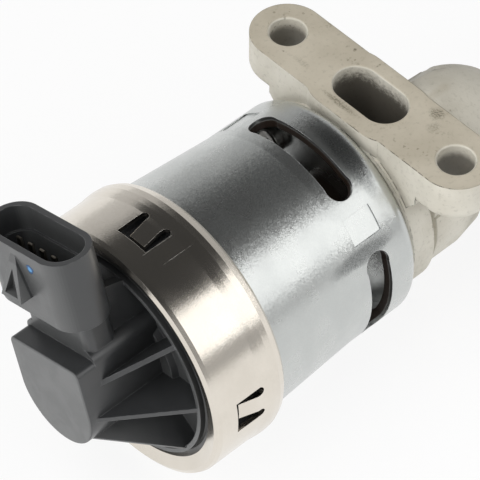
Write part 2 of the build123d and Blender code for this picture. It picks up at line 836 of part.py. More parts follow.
# Sensor cap: round base with raised rim, D-shaped sensor housing, connector shroud and ribs
with BuildPart() as sensor_cap:
    with BuildSketch(profile):
        with BuildLine():
            Polyline(
                (0, cap_under_y),
                (cap_skirt_inner_r, cap_under_y),
                (cap_skirt_inner_r, pole_front_y),
                (cap_skirt_r, pole_front_y),
                (cap_skirt_r, cap_shoulder_y + 0.9),
                (cap_skirt_r - 0.9, cap_shoulder_y),
                (cap_rim_outer_r + 0.5, cap_shoulder_y),
                (cap_rim_outer_r, cap_shoulder_y - 0.5),
                (cap_rim_outer_r, cap_rim_y),
                (cap_rim_inner_r, cap_rim_y),
                (cap_rim_inner_r - 0.3, cap_floor_y),
                (collar_r + 0.6, cap_floor_y),
                (collar_r, cap_floor_y - collar_h),
                (0, cap_floor_y - collar_h),
                close=True,
            )
        make_face()
    revolve(axis=valve_axis)
    # Rear part of the sensor housing
    with BuildSketch(cap_face(cap_floor_y)):
        Circle(housing_half_v)
        with Locations((0, housing_back_u / 2)):
            Rectangle(2 * housing_half_v, housing_back_u)
        fillet(vertices().group_by(Axis.Y)[-1], radius=3.0)
    extrude(amount=cap_floor_y - housing_step_y)
    # Front part of the sensor housing, lower at the top
    with BuildSketch(cap_face(housing_step_y)):
        Circle(housing_half_v)
        with Locations((0, housing_front_u / 2)):
            Rectangle(2 * housing_half_v, housing_front_u)
        fillet(vertices().group_by(Axis.Y)[-1], radius=1.7)
    extrude(amount=housing_step_y - housing_front_y)
    front_loop = faces().sort_by(Axis.Y)[0].edges()
    fillet(front_loop, radius=0.5)
    # Neck up to the connector
    with BuildSketch(cap_level(housing_half_v)):
        with Locations((0, (housing_step_y + neck_rear_y) / 2)):
            RectangleRounded(2 * neck_half_v, neck_rear_y - housing_step_y, 2.4)
    extrude(amount=shroud_base_u - housing_half_v + 0.5)
    # Connector shroud
    with BuildSketch(cap_level(shroud_base_u)):
        with Locations((0, shroud_y)):
            SlotOverall(2 * shroud_half_v, shroud_w)
    extrude(amount=shroud_top_u - shroud_base_u)
    with BuildSketch(cap_level(shroud_base_u + shroud_floor_t)):
        with Locations((0, shroud_y)):
            SlotOverall(
                2 * (shroud_half_v - shroud_wall - shroud_ledge),
                shroud_w - 2 * (shroud_wall + shroud_ledge),
            )
    extrude(amount=shroud_top_u - shroud_base_u, mode=Mode.SUBTRACT)
    with BuildSketch(cap_level(shroud_ledge_u)):
        with Locations((0, shroud_y)):
            SlotOverall(2 * (shroud_half_v - shroud_wall), shroud_w - 2 * shroud_wall)
    extrude(amount=shroud_top_u - shroud_ledge_u + 1, mode=Mode.SUBTRACT)
    # Latch ramp on the front wall of the shroud
    with BuildSketch(cap_side(latch_v - latch_half_v)):
        with BuildLine():
            Polyline(
                (shroud_y - shroud_w / 2 + 0.5, latch_top_u),
                (shroud_y - shroud_w / 2, latch_top_u),
                (shroud_y - shroud_w / 2 - latch_out, latch_base_u),
                (shroud_y - shroud_w / 2 + 0.5, latch_base_u),
                close=True,
            )
        make_face()
    extrude(amount=2 * latch_half_v)
    # The ramp narrows towards its tip and has a three-cornered pocket in its face
    for side in (-1, 1):
        with BuildSketch(cap_face(shroud_y - shroud_w / 2)):
            with BuildLine():
                Polyline(
                    (latch_v + side * (latch_half_v + 0.1), latch_base_u),
                    (latch_v + side * (latch_half_v + 0.1), latch_top_u + 0.5),
                    (latch_v + side * latch_tip_half_v, latch_top_u + 0.5),
                    (latch_v + side * latch_half_v, latch_base_u),
                    close=True,
                )
            make_face()
        extrude(amount=latch_out + 0.5, mode=Mode.SUBTRACT)
    with BuildSketch(cap_face(shroud_y - shroud_w / 2 - latch_web)):
        with BuildLine():
            Polyline(
                (latch_v, latch_top_u - latch_pocket_drop),
                (latch_v + latch_half_v - 1.4 * latch_web, latch_base_u + latch_web),
                (latch_v - latch_half_v + 1.4 * latch_web, latch_base_u + latch_web),
                close=True,
            )
        make_face()
    extrude(amount=latch_out, mode=Mode.SUBTRACT)
    # Web that stays the shroud against the cap rim
    with BuildSketch(cap_side(web_v - web_t / 2)):
        with BuildLine():
            Polyline(
                (shroud_y + shroud_w / 2 - 0.5, shroud_base_u + 3.2),
                (cap_rim_y + 0.5, shroud_base_u + 1.6),
                (cap_floor_y, shroud_base_u + 0.9),
                (cap_floor_y, housing_half_v),
                (housing_step_y + web_foot_w, housing_half_v),
                (shroud_y + shroud_w / 2 - 0.5, shroud_base_u),
                close=True,
            )
        make_face()
    extrude(amount=web_t)
    # Ribs from the housing out to the rim
    rim_mid_r = (cap_rim_inner_r + cap_rim_outer_r) / 2
    for side in (-1, 1):
        for angle, top_y in (
            (rib_upper_angle, rib_upper_y),
            (rib_side_angle, rib_side_y),
            (rib_lower_angle, rib_side_y),
        ):
            with BuildSketch(radial_plane(cap_clock + side * angle)):
                with BuildLine():
                    Polyline(
                        (housing_half_v - 2, cap_floor_y + 1),
                        (housing_half_v - 2, top_y),
                        (housing_half_v, top_y),
                        (rim_mid_r, cap_rim_y),
                        (rim_mid_r, cap_floor_y + 1),
                        close=True,
                    )
                make_face()
            extrude(amount=rib_t / 2, both=True)
    # Sensor chamber, open to the underside
    with BuildSketch(cap_face(cap_under_y + 0.5)):
        Circle(cavity_r)
        with Locations((0, (board_u + board_t) / 2)):
            Rectangle(2 * cavity_r, board_u + board_t)
        with Locations((0, board_u + board_t + housing_back_u / 2)):
            Rectangle(3 * housing_half_v, housing_back_u, mode=Mode.SUBTRACT)
    extrude(amount=cap_under_y + 0.5 - cavity_top_y, mode=Mode.SUBTRACT)
    # Post that centres the plunger spring
    with BuildSketch(cap_face(cavity_top_y + spring_post_h)):
        Circle(spring_post_r)
    extrude(amount=spring_post_h + 0.5)
    # Slots through which the connector blades pass
    for index in range(blade_count):
        blade_v = (index - (blade_count - 1) / 2) * blade_pitch
        with BuildSketch(cap_level(board_u + board_t - 0.5)):
            with Locations((blade_v, shroud_y)):
                Rectangle(blade_w, blade_t)
        extrude(amount=shroud_base_u + shroud_floor_t - board_u - board_t + 1, mode=Mode.SUBTRACT)
    # Groove for the sealing ring
    with BuildSketch(profile):
        with Locations((seal_r, pole_front_y)):
            Rectangle(2 * seal_wire_r + 0.1, 4 * seal_wire_r)
    revolve(axis=valve_axis, mode=Mode.SUBTRACT)
    # Pockets behind the tabs of the crimp ring
    for index in range(tab_count):
        middle = tab_clock + 360 / tab_count * index
        with BuildSketch(radial_plane(middle - window_angle / 2 - 1)):
            with Locations((cap_skirt_r, (window_rear_y + window_front_y) / 2)):
                Rectangle(2 * tab_push + 0.4, window_rear_y - window_front_y + 1)
        revolve(axis=valve_axis, revolution_arc=window_angle + 2, mode=Mode.SUBTRACT)
sensor_cap.part.label = "sensor_cap"
export_step(sensor_cap.part, "parts/sensor_cap.step")

# Guide plate that closes the sensor chamber and guides the sensing plunger
with BuildPart() as sensor_guide:
    with BuildSketch(profile):
        with BuildLine():
            Polyline(
                (sensing_stem_r + guide_clearance, guide_front_y),
                (guide_tube_r, guide_front_y),
                (guide_tube_r, cap_under_y + guide_t),
                (guide_r, cap_under_y + guide_t),
                (guide_r, cap_under_y),
                (sensing_stem_r + guide_clearance, cap_under_y),
                close=True,
            )
        make_face()
    revolve(axis=valve_axis)
sensor_guide.part.label = "sensor_guide"
export_step(sensor_guide.part, "parts/sensor_guide.step")

# Sensing plunger: rod that rests on the pintle, carrier head and spring post
with BuildPart() as sensor_plunger:
    with BuildSketch(cap_face(pintle_end_y)):
        Circle(sensing_stem_r)
    extrude(amount=pintle_end_y - head_rear_y)
    with BuildSketch(cap_face(head_rear_y)):
        with Locations((0, (head_low_u + head_high_u) / 2)):
            RectangleRounded(2 * head_half_v, head_high_u - head_low_u, 1.0)
    extrude(amount=head_rear_y - head_front_y)
    with BuildSketch(cap_face(head_front_y)):
        Circle(spring_post_r)
    extrude(amount=spring_post_h)
sensor_plunger.part.label = "sensor_plunger"
export_step(sensor_plunger.part, "parts/sensor_plunger.step")

# Wiper spring of the position sensor, fixed on the carrier head
with BuildPart() as wiper:
    with BuildSketch(cap_side(-wiper_half_v)):
        with BuildLine():
            Polyline(
                (head_rear_y - 0.6, head_high_u),
                (head_front_y - 1.2, head_high_u),
                (wiper_front_y + 1.5, board_u - wiper_gap - wiper_t),
                (wiper_front_y, board_u - wiper_gap - wiper_t),
                (wiper_front_y, board_u - wiper_gap),
                (wiper_front_y + 1.7, board_u - wiper_gap),
                (head_front_y - 1.0, head_high_u + wiper_t),
                (head_rear_y - 0.6, head_high_u + wiper_t),
                close=True,
            )
        make_face()
    extrude(amount=2 * wiper_half_v)
wiper.part.label = "wiper"
export_step(wiper.part, "parts/wiper.step")

# Spring that keeps the sensing plunger on the pintle
with BuildPart() as plunger_spring:
    plunger_height = head_front_y - cavity_top_y - 2 * plunger_wire_r
    with BuildLine() as plunger_path:
        Helix(
            pitch=plunger_height / plunger_turns,
            height=plunger_height,
            radius=plunger_coil_r,
            center=(0, cavity_top_y + plunger_wire_r, axis_z),
            direction=(0, 1, 0),
        )
    with BuildSketch(Plane(origin=plunger_path.line @ 0, z_dir=plunger_path.line % 0)):
        Circle(plunger_wire_r)
    sweep()
plunger_spring.part.label = "plunger_spring"
export_step(plunger_spring.part, "parts/plunger_spring.step")

# Resistor board of the position sensor, on the upper wall of the chamber
with BuildPart() as sensor_board:
    with BuildSketch(cap_level(board_u)):
        with Locations((0, (board_rear_y + board_front_y) / 2)):
            Rectangle(2 * board_half_v, board_rear_y - board_front_y)
    extrude(amount=board_t)
sensor_board.part.label = "sensor_board"
export_step(sensor_board.part, "parts/sensor_board.step")

# Blades of the connector, from the board up into the shroud
with BuildPart() as connector_blades:
    for index in range(blade_count):
        blade_v = (index - (blade_count - 1) / 2) * blade_pitch
        with BuildSketch(cap_level(board_u + board_t)):
            with Locations((blade_v, shroud_y)):
                Rectangle(blade_w, blade_t)
        extrude(amount=blade_top_u - board_u - board_t)
    blade_tips = edges().filter_by(Axis(origin=(0, 0, 0), direction=v_dir)).sort_by(
        Axis(origin=(0, 0, axis_z), direction=u_dir)
    )
    chamfer(blade_tips[-2 * blade_count :], length=0.2)
connector_blades.part.label = "connector_blades"
export_step(connector_blades.part, "parts/connector_blades.step")
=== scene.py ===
"""Looks of an exhaust gas recirculation valve: finishes, fitted pieces, stage and camera.

All lengths are metres in the frame of the valve. The mounting face lies in Z = 0, the valve
axis runs along Y at the height AXIS_Z, and angles about that axis count from +Z towards +X.
"""

import json
import logging
import math
from dataclasses import dataclass
from enum import Enum
from functools import cache, cached_property
from typing import Any, Callable, Optional

import bmesh
import bpy
from mathutils import Matrix, Vector


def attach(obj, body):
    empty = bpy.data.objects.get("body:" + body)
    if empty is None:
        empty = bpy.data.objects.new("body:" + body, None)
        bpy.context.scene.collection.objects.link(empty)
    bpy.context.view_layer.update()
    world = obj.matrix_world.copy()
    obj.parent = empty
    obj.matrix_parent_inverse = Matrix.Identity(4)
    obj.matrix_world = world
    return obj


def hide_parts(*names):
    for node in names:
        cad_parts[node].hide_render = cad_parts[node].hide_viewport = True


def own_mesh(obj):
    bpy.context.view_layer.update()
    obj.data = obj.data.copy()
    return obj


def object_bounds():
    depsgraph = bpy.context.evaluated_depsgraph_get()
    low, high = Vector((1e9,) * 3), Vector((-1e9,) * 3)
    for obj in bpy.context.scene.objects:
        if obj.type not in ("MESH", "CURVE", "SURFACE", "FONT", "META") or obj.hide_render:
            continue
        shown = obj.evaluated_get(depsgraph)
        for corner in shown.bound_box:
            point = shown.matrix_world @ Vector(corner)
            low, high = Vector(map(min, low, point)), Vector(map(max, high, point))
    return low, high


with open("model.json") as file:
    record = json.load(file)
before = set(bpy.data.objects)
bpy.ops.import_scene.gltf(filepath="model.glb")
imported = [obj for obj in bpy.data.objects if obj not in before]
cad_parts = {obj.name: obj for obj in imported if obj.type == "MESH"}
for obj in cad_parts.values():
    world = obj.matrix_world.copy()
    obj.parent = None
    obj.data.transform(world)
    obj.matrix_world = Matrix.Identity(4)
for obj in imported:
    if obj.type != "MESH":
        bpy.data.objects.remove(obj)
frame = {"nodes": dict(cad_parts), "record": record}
cad_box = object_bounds()

LOG = logging.getLogger("valve")
MM = 0.001
AXIS_Z = -29.1 * MM
CAP_CLOCK = -16.5
HOUSING = "valve_body"
SLOTS = {entry["node"]: entry["material_slot"] for entry in frame["record"]["subparts"]}
Colour = tuple[float, float, float]
Socket = bpy.types.NodeSocket
Outputs = bpy.types.bpy_prop_collection
Node = bpy.types.Node
Tree = bpy.types.NodeTree


class Slide(Enum):
    """Joints of the mechanism, both along the valve axis."""

    VALVE = "valve_slide"
    PLUNGER = "plunger_slide"


def linear(hex_colour: str) -> Colour:
    """Scene-linear colour of a hex colour as seen on a screen.

    Args:
        hex_colour: Six hex digits, without a leading sign.

    Returns:
        Red, green and blue, each from 0 to 1.
    """
    out = []
    for start in (0, 2, 4):
        value = int(hex_colour[start:start + 2], 16) / 255
        out.append(value / 12.92 if value <= 0.04045 else ((value + 0.055) / 1.055) ** 2.4)
    return out[0], out[1], out[2]


def scaled(colour: Colour, factor: float) -> Colour:
    """Colour made lighter or darker by a factor."""
    return colour[0] * factor, colour[1] * factor, colour[2] * factor


def cap_point(u: float, v: float, y: float) -> Vector:
    """Point in the cap's own directions.

    Args:
        u: Distance from the valve axis towards the connector mouth.
        v: Distance from the valve axis, square to u.
        y: Place along the valve axis.

    Returns:
        The point in the frame of the valve.
    """
    turn = math.radians(CAP_CLOCK)
    x = u * math.sin(turn) + v * math.cos(turn)
    z = AXIS_Z + u * math.cos(turn) - v * math.sin(turn)
    return Vector((x, y, z))


class Graph:
    """Adds nodes to one node tree and wires them, with the place on the piece at hand."""

    def __init__(self, tree: Tree) -> None:
        """Takes the tree to fill; the place is set by whoever knows its socket."""
        self.tree = tree
        self.where: Optional[Socket] = None

    @cached_property
    def place(self) -> tuple[Socket, ...]:
        """X, Y and Z of the place on the piece."""
        return tuple(self.add("SeparateXYZ", {0: self.where}).outputs)

    @cached_property
    def from_axis(self) -> Socket:
        """Place on the piece as seen from the valve axis."""
        return self.vector("SUBTRACT", self.where, (0.0, 0.0, AXIS_Z))

    @cached_property
    def radius(self) -> Socket:
        """Distance of the place from the valve axis."""
        return self.vector("LENGTH", self.vector("MULTIPLY", self.from_axis, (1.0, 0.0, 1.0)))

    @cached_property
    def turn(self) -> Socket:
        """Angle of the place about the valve axis, in radians."""
        return self.math("ARCTAN2", self.place[0], self.minus(self.place[2], AXIS_Z))

    def fill(self, node: Node, inputs: dict[Any, Any]) -> None:
        """Gives a node its inputs.

        Args:
            node: Node to feed.
            inputs: Values or sockets by input name or number.
        """
        for key, value in inputs.items():
            if isinstance(value, Socket):
                self.tree.links.new(value, node.inputs[key])
            else:
                node.inputs[key].default_value = value

    def add(self, kind: str, inputs: Optional[dict[Any, Any]] = None, **settings: Any) -> Node:
        """Adds a node.

        Args:
            kind: Node type, without its ShaderNode prefix.
            inputs: Values or sockets by input name or number.
            settings: Node attributes, set before the inputs.

        Returns:
            The new node.
        """
        node = self.tree.nodes.new(kind if kind.startswith("Node") else f"ShaderNode{kind}")
        for name, value in settings.items():
            setattr(node, name, value)
        self.fill(node, inputs or {})
        return node

    def effect(self, tree: Tree, **inputs: Any) -> Outputs:
        """Adds a shared effect at the place on the piece and gives its outputs."""
        return self.add("Group", {"Position": self.where, **inputs}, node_tree=tree).outputs

    def math(self, operation: str, a: Any, b: Any = 0.0, clamp: bool = False) -> Socket:
        """Result of a sum on two values or sockets; operation and clamp are the Math node's."""
        return self.add("Math", {0: a, 1: b}, operation=operation, use_clamp=clamp).outputs[0]

    def plus(self, a: Any, b: Any) -> Socket:
        """Sum of two values or sockets."""
        return self.math("ADD", a, b)

    def minus(self, a: Any, b: Any) -> Socket:
        """Difference of two values or sockets."""
        return self.math("SUBTRACT", a, b)

    def times(self, a: Any, b: Any) -> Socket:
        """Product of two values or sockets."""
        return self.math("MULTIPLY", a, b)

    def squares(self, a: Socket, b: Socket) -> Socket:
        """Sum of the squares of two sockets."""
        return self.plus(self.times(a, a), self.times(b, b))

    def vector(self, operation: str, a: Any, b: Any = (0.0, 0.0, 0.0)) -> Socket:
        """Result of a Vector Math node; a length, distance or dot product is a number."""
        node = self.add("VectorMath", {0: a, 1: b}, operation=operation)
        return node.outputs["Value" if operation in ("LENGTH", "DISTANCE", "DOT_PRODUCT") else "Vector"]

    def mix(self, factor: Any, a: Any, b: Any, blend: str = "MIX") -> Socket:
        """Mix of two colours.

        Args:
            factor: Share of b.
            a: Colour or socket.
            b: Colour or socket.
            blend: Blend type of the Mix node.

        Returns:
            The colour socket.
        """
        a = (*a, 1.0) if isinstance(a, tuple) else a
        b = (*b, 1.0) if isinstance(b, tuple) else b
        return self.add("Mix", {0: factor, 6: a, 7: b}, data_type="RGBA", blend_type=blend).outputs[2]

    def span(self, value: Any, low: float, high: float, out_low: float = 0.0, out_high: float = 1.0,
             smooth: bool = True) -> Socket:
        """Maps a value from one span to another.

        Args:
            value: Value or socket.
            low: Value that becomes out_low.
            high: Value that becomes out_high.
            out_low: Result at low.
            out_high: Result at high.
            smooth: Eases both ends when true.

        Returns:
            The result socket.
        """
        inputs = {"Value": value, "From Min": low, "From Max": high, "To Min": out_low, "To Max": out_high}
        kind = "SMOOTHSTEP" if smooth else "LINEAR"
        return self.add("MapRange", inputs, interpolation_type=kind).outputs[0]

    def noise(self, size: Any, detail: float = 2.0, roughness: float = 0.5, warp: float = 0.0) -> Socket:
        """Noise at the place on the piece.

        Args:
            size: Rough width of its blotches, as a length or socket.
            detail: Number of finer layers.
            roughness: Weight of the finer layers.
            warp: Distortion of the blotches.

        Returns:
            The noise socket, from 0 to 1.
        """
        scale = self.math("DIVIDE", 1.0, size) if isinstance(size, Socket) else 1 / size
        inputs = {"Vector": self.where, "Scale": scale, "Detail": detail, "Roughness": roughness}
        return self.add("TexNoise", {**inputs, "Distortion": warp}).outputs[0]

    def bump(self, height: Any, depth: float, strength: float, normal: Optional[Socket] = None) -> Socket:
        """Bumped normal.

        Args:
            height: Height socket from 0 to 1.
            depth: Real depth of the relief.
            strength: Strength from 0 to 1.
            normal: Normal socket to start from, if any.

        Returns:
            The normal socket.
        """
        inputs = {"Height": height, "Distance": depth, "Strength": strength}
        if normal is not None:
            inputs["Normal"] = normal
        return self.add("Bump", inputs).outputs[0]


class Effects:
    """Shader node groups that several finishes share, each built once."""

    @staticmethod
    def _start(name: str, outputs: dict[str, str], **inputs: Optional[float]
               ) -> tuple[Graph, Outputs, Node]:
        """Makes a group that works at the place on the piece.

        Args:
            name: Name of the group.
            outputs: Socket type by output name.
            inputs: Default value by input name, None for a vector.

        Returns:
            The graph, the input sockets and the output node.
        """
        tree = bpy.data.node_groups.new(name, "ShaderNodeTree")
        for label, default in {"Position": None, **inputs}.items():
            kind = "NodeSocketVector" if default is None else "NodeSocketFloat"
            socket = tree.interface.new_socket(label, in_out="INPUT", socket_type=kind)
            if default is not None:
                socket.default_value = default
        for label, kind in outputs.items():
            tree.interface.new_socket(label, in_out="OUTPUT", socket_type=f"NodeSocket{kind}")
        g = Graph(tree)
        given = g.add("NodeGroupInput").outputs
        g.where = given["Position"]
        return g, given, g.add("NodeGroupOutput")

    @staticmethod
    @cache
    def grain() -> Tree:
        """Builds a fine surface grain: cells over a softer noise, as height, fleck mask and tilt.

        Returns:
            The group.
        """
        outputs = {"Height": "Float", "Fleck": "Float", "Tilt": "Vector"}
        g, given, out = Effects._start("surface_grain", outputs, Size=0.3 * MM, Softness=0.5)
        scale = g.math("DIVIDE", 1.0, given["Size"])
        g.where = g.add("VectorMath", {0: g.where, "Scale": scale}, operation="SCALE").outputs[0]
        cell = g.add("TexVoronoi", {"Vector": g.where, "Scale": 1.0}, feature="F1").outputs
        height = g.add("Mix", {0: given["Softness"], 2: cell["Distance"], 3: g.noise(1.25, 3.0)})
        fleck = g.add("SeparateColor", {0: cell["Color"]})
        tilt = g.vector("SUBTRACT", cell["Color"], (0.5, 0.5, 0.5))
        g.fill(out, {"Height": height.outputs[0], "Fleck": fleck.outputs[0], "Tilt": tilt})
        return g.tree

    @staticmethod
    @cache
    def edge_wear_and_highlight() -> Tree:
        """Builds a normal that is rounded at edges, with a broken mask along outer edges for worn edges and
        for painted edge highlight.

        Returns:
            The group.
        """
        outputs = {"Mask": "Float", "Normal": "Vector"}
        g, given, out = Effects._start("edge_wear_and_highlight", outputs, Radius=0.2 * MM, Breakup=1.5 * MM)
        rounded = g.add("Bevel", {"Radius": given["Radius"]}, samples=6).outputs[0]
        facing = g.vector("DOT_PRODUCT", rounded, g.add("NewGeometry").outputs["Normal"])
        edge = g.span(g.minus(1.0, facing), 0.004, 0.10)
        broken = g.times(edge, g.span(g.noise(given["Breakup"], 3.0), 0.38, 0.62))
        g.fill(out, {"Mask": broken, "Normal": rounded})
        return g.tree

    @staticmethod
    @cache
    def hollow_shade() -> Tree:
        """Builds a mask of painted shade in hollows and corners, from ambient occlusion broken up by
        blotches.

        Returns:
            The group.
        """
        g, given, out = Effects._start("hollow_shade", {"Mask": "Float"}, Reach=4 * MM, Blotch=3 * MM)
        sky = g.add("AmbientOcclusion", {"Distance": given["Reach"]}, samples=6).outputs["AO"]
        blotches = g.span(g.noise(given["Blotch"], 4.0), 0.25, 0.7, 0.55, 1.25)
        g.fill(out, {"Mask": g.span(g.times(g.minus(1.0, sky), blotches), 0.18, 0.8)})
        return g.tree

    @staticmethod
    @cache
    def hairlines() -> Tree:
        """Builds fine lines drawn along one direction, as a height from 0 to 1.

        Returns:
            The group.
        """
        g, given, out = Effects._start("hairlines", {"Height": "Float"}, Width=0.05 * MM, Stretch=None)
        g.where = g.vector("MULTIPLY", g.where, given["Stretch"])
        g.fill(out, {"Height": g.noise(given["Width"], 2.0, 0.6)})
        return g.tree


@dataclass(frozen=True)
class Finish:
    """Base of a finish: a named procedural material for one slot of the record."""

    slot: str
    colour: Colour
    roughness: float

    def material(self) -> bpy.types.Material:
        """Builds the material, unless it is there already.

        Returns:
            The material.
        """
        name = f"finish_{self.slot}"
        if name in bpy.data.materials:
            return bpy.data.materials[name]
        made = bpy.data.materials.new(name)
        made.use_nodes = True
        made.diffuse_color = (*self.colour, 1.0)
        made.node_tree.nodes.clear()
        g = Graph(made.node_tree)
        g.where = g.add("TexCoord").outputs["Object"]
        shader = g.add("BsdfPrincipled", {"Roughness": self.roughness})
        g.fill(shader, self.wire(g))
        g.add("OutputMaterial", {"Surface": shader.outputs[0]})
        return made

    def wire(self, g: Graph) -> dict[str, Any]:
        """Builds what feeds the shader.

        Args:
            g: Graph of the material.

        Returns:
            Values or sockets by shader input.
        """
        raise NotImplementedError


@dataclass(frozen=True)
class Stain:
    """One soft-edged mark on the mounting face."""

    x: float
    y: float
    half_x: float
    half_y: float
    depth: float


@dataclass(frozen=True)
class CastAlloy(Finish):
    """Die-cast alloy with a tan machined mounting face, greyer cast walls and painted shade towards its rear.
    """

    wall_colour: Colour = linear("D6D2C6")
    cloud_colour: Colour = linear("A9A292")
    # Colour of the painted shade on the casting behind the flange.
    rear_shade_colour: Colour = linear("9A958A")
    soot: Colour = linear("4A453D")
    speck: Colour = linear("6E6858")
    line: Colour = linear("4A463D")
    cloud: float = 14 * MM
    speck_size: float = 1.1 * MM
    grain: float = 0.55 * MM
    ripple: float = 2.6 * MM
    relief: float = 0.06 * MM
    edge_radius: float = 0.38 * MM
    edge_breakup: float = 1.6 * MM
    face_skin: float = 0.25 * MM
    front_y: float = -8.2 * MM
    front_fade: float = 1.7 * MM
    front_half_x: float = 2 * MM
    rear_y: float = 7 * MM
    rear_shade_fade: float = 6 * MM
    port_half_line: float = 4.65 * MM
    port_radius: float = 5.7 * MM
    port_clean: float = 4.2 * MM
    soot_fade: float = 4.6 * MM
    soot_patch: float = 1.0 * MM
    soot_ragged: float = 7 * MM
    hole_x: float = 28 * MM
    hole_radius: float = 4.5 * MM
    hole_clean: float = 0.6 * MM
    hole_dark_fade: float = 2.8 * MM
    hole_dark_patch: float = 1.2 * MM
    hole_dark_ragged: float = 1.6 * MM
    flange_under: float = -11.6 * MM
    stain_reach: float = 1.5 * MM
    stain_edge: float = 0.7 * MM
    stain_speckle: float = 0.45 * MM
    stains: tuple[Stain, ...] = ()

    def wire(self, g: Graph) -> dict[str, Any]:
        """Builds face tone, wall tone, painted shade towards the rear, stains, edge line and cast grain.

        Args:
            g: Graph of the material.

        Returns:
            Values or sockets by shader input.
        """
        x, y, z = g.place
        on_face = g.span(z, -self.face_skin, -0.2 * self.face_skin)
        base = g.mix(on_face, self.wall_colour, self.colour)
        clouds = g.span(g.noise(self.cloud, 4.0), 0.3, 0.7)
        base = g.mix(g.times(clouds, 0.28), base, self.cloud_colour, "MULTIPLY")
        # Painted shade: the casting behind the flange is darkened towards its rear.
        behind = g.span(y, self.rear_y, self.rear_y + self.rear_shade_fade, 0.0, 0.30)
        base = g.mix(behind, base, self.rear_shade_colour, "MULTIPLY")
        specks = g.span(g.noise(self.speck_size, 5.0, 0.65), 0.52, 0.72, 0.0, 0.22)
        fine = g.effect(Effects.grain(), Size=self.grain, Softness=0.6)
        flecks = g.times(g.span(fine["Fleck"], 0.93, 0.99, 0.0, 0.5), g.span(clouds, 0.5, 1.0))
        for mask in (specks, flecks, *self._stains(g)):
            base = g.mix(mask, base, self.speck)
        # The soot colour fills the gas port and also darkens the bolt holes deeper down.
        for mask in (self._port_soot(g), self._hole_darkening(g)):
            base = g.mix(mask, base, self.soot)
        wear_and_highlight = g.effect(Effects.edge_wear_and_highlight(), Radius=self.edge_radius, Breakup=self.edge_breakup)
        near_front = g.span(y, self.front_y, self.front_y + self.front_fade, 1.0, 0.0)
        front = g.times(near_front, g.span(x, -self.front_half_x, self.front_half_x))
        edge = g.math("MULTIPLY", wear_and_highlight["Mask"], g.span(front, 0.0, 1.0, 0.35, 1.6), True)
        base = g.mix(edge, base, self.line)
        rough = g.span(clouds, 0.0, 1.0, self.roughness - 0.06, self.roughness + 0.08)
        relief = g.plus(fine["Height"], g.noise(self.ripple, 4.0))
        wall_only = g.minus(1.0, g.times(on_face, 0.75))
        normal = g.bump(g.times(relief, wall_only), self.relief, 0.55, wear_and_highlight["Normal"])
        return {"Base Color": base, "Roughness": rough, "Normal": normal}

    def _port_soot(self, g: Graph) -> Socket:
        """Mask of the soot in the gas port, patchy at its mouth and even further down.

        Args:
            g: Graph of the material.

        Returns:
            The mask socket.
        """
        x, y, z = g.place
        side = g.math("MAXIMUM", g.minus(g.math("ABSOLUTE", x), self.port_half_line), 0.0)
        off = g.math("SQRT", g.squares(side, y))
        inside = g.span(off, self.port_radius + 0.2 * MM, self.port_radius + 0.9 * MM, 1.0, 0.0)
        patchy = g.minus(g.times(g.noise(self.soot_patch, 4.0, 0.75), self.soot_ragged), z)
        return g.times(inside, g.span(patchy, self.port_clean, self.port_clean + self.soot_fade, 0.0, 0.9))

    def _hole_darkening(self, g: Graph) -> Socket:
        """Mask that darkens the inside of the two bolt holes deeper down, below their clean rims.

        Args:
            g: Graph of the material.

        Returns:
            The mask socket.
        """
        x, y, z = g.place
        off = g.math("SQRT", g.squares(g.minus(g.math("ABSOLUTE", x), self.hole_x), y))
        inside = g.span(off, self.hole_radius + 0.1 * MM, self.hole_radius + 0.4 * MM, 1.0, 0.0)
        ragged = g.plus(z, g.times(g.noise(self.hole_dark_patch, 4.0, 0.7), self.hole_dark_ragged))
        deep = g.span(ragged, -self.hole_clean - self.hole_dark_fade, -self.hole_clean, 0.72, 0.0)
        above = g.span(z, self.flange_under, self.flange_under + 0.6 * MM)
        return g.times(g.times(inside, above), deep)

    def _stains(self, g: Graph) -> list[Socket]:
        """Masks of the marks on the mounting face.

        Args:
            g: Graph of the material.

        Returns:
            One mask socket for each mark.
        """
        ragged = g.noise(self.stain_edge, 4.0, 0.7)
        speckle = g.span(g.noise(self.stain_speckle, 3.0, 0.7), 0.44, 0.58, 0.3, 1.0)
        masks = []
        for mark in self.stains:
            scale = (1 / mark.half_x, 1 / mark.half_y, 1 / self.stain_reach)
            centred = g.vector("SUBTRACT", g.where, (mark.x, mark.y, 0.0))
            reach = g.vector("LENGTH", g.vector("MULTIPLY", centred, scale))
            masks.append(g.times(g.span(g.plus(reach, ragged), 0.75, 1.5, mark.depth, 0.0), speckle))
        return masks


@dataclass(frozen=True)
class DarkReflection:
    """Painted dark reflection on a round sheet, soft-edged."""

    angle: float
    y: float
    half_angle: float
    half_y: float
    depth: float


@dataclass(frozen=True)
class Scratch:
    """Thin scratch along the valve axis, from its rear end to its front end."""

    angle: float
    rear_y: float
    front_y: float


@dataclass(frozen=True)
class Pad:
    """Flat pad pressed into a drawn can."""

    angle: float
    middle_y: float
    half_wide: float
    half_long: float


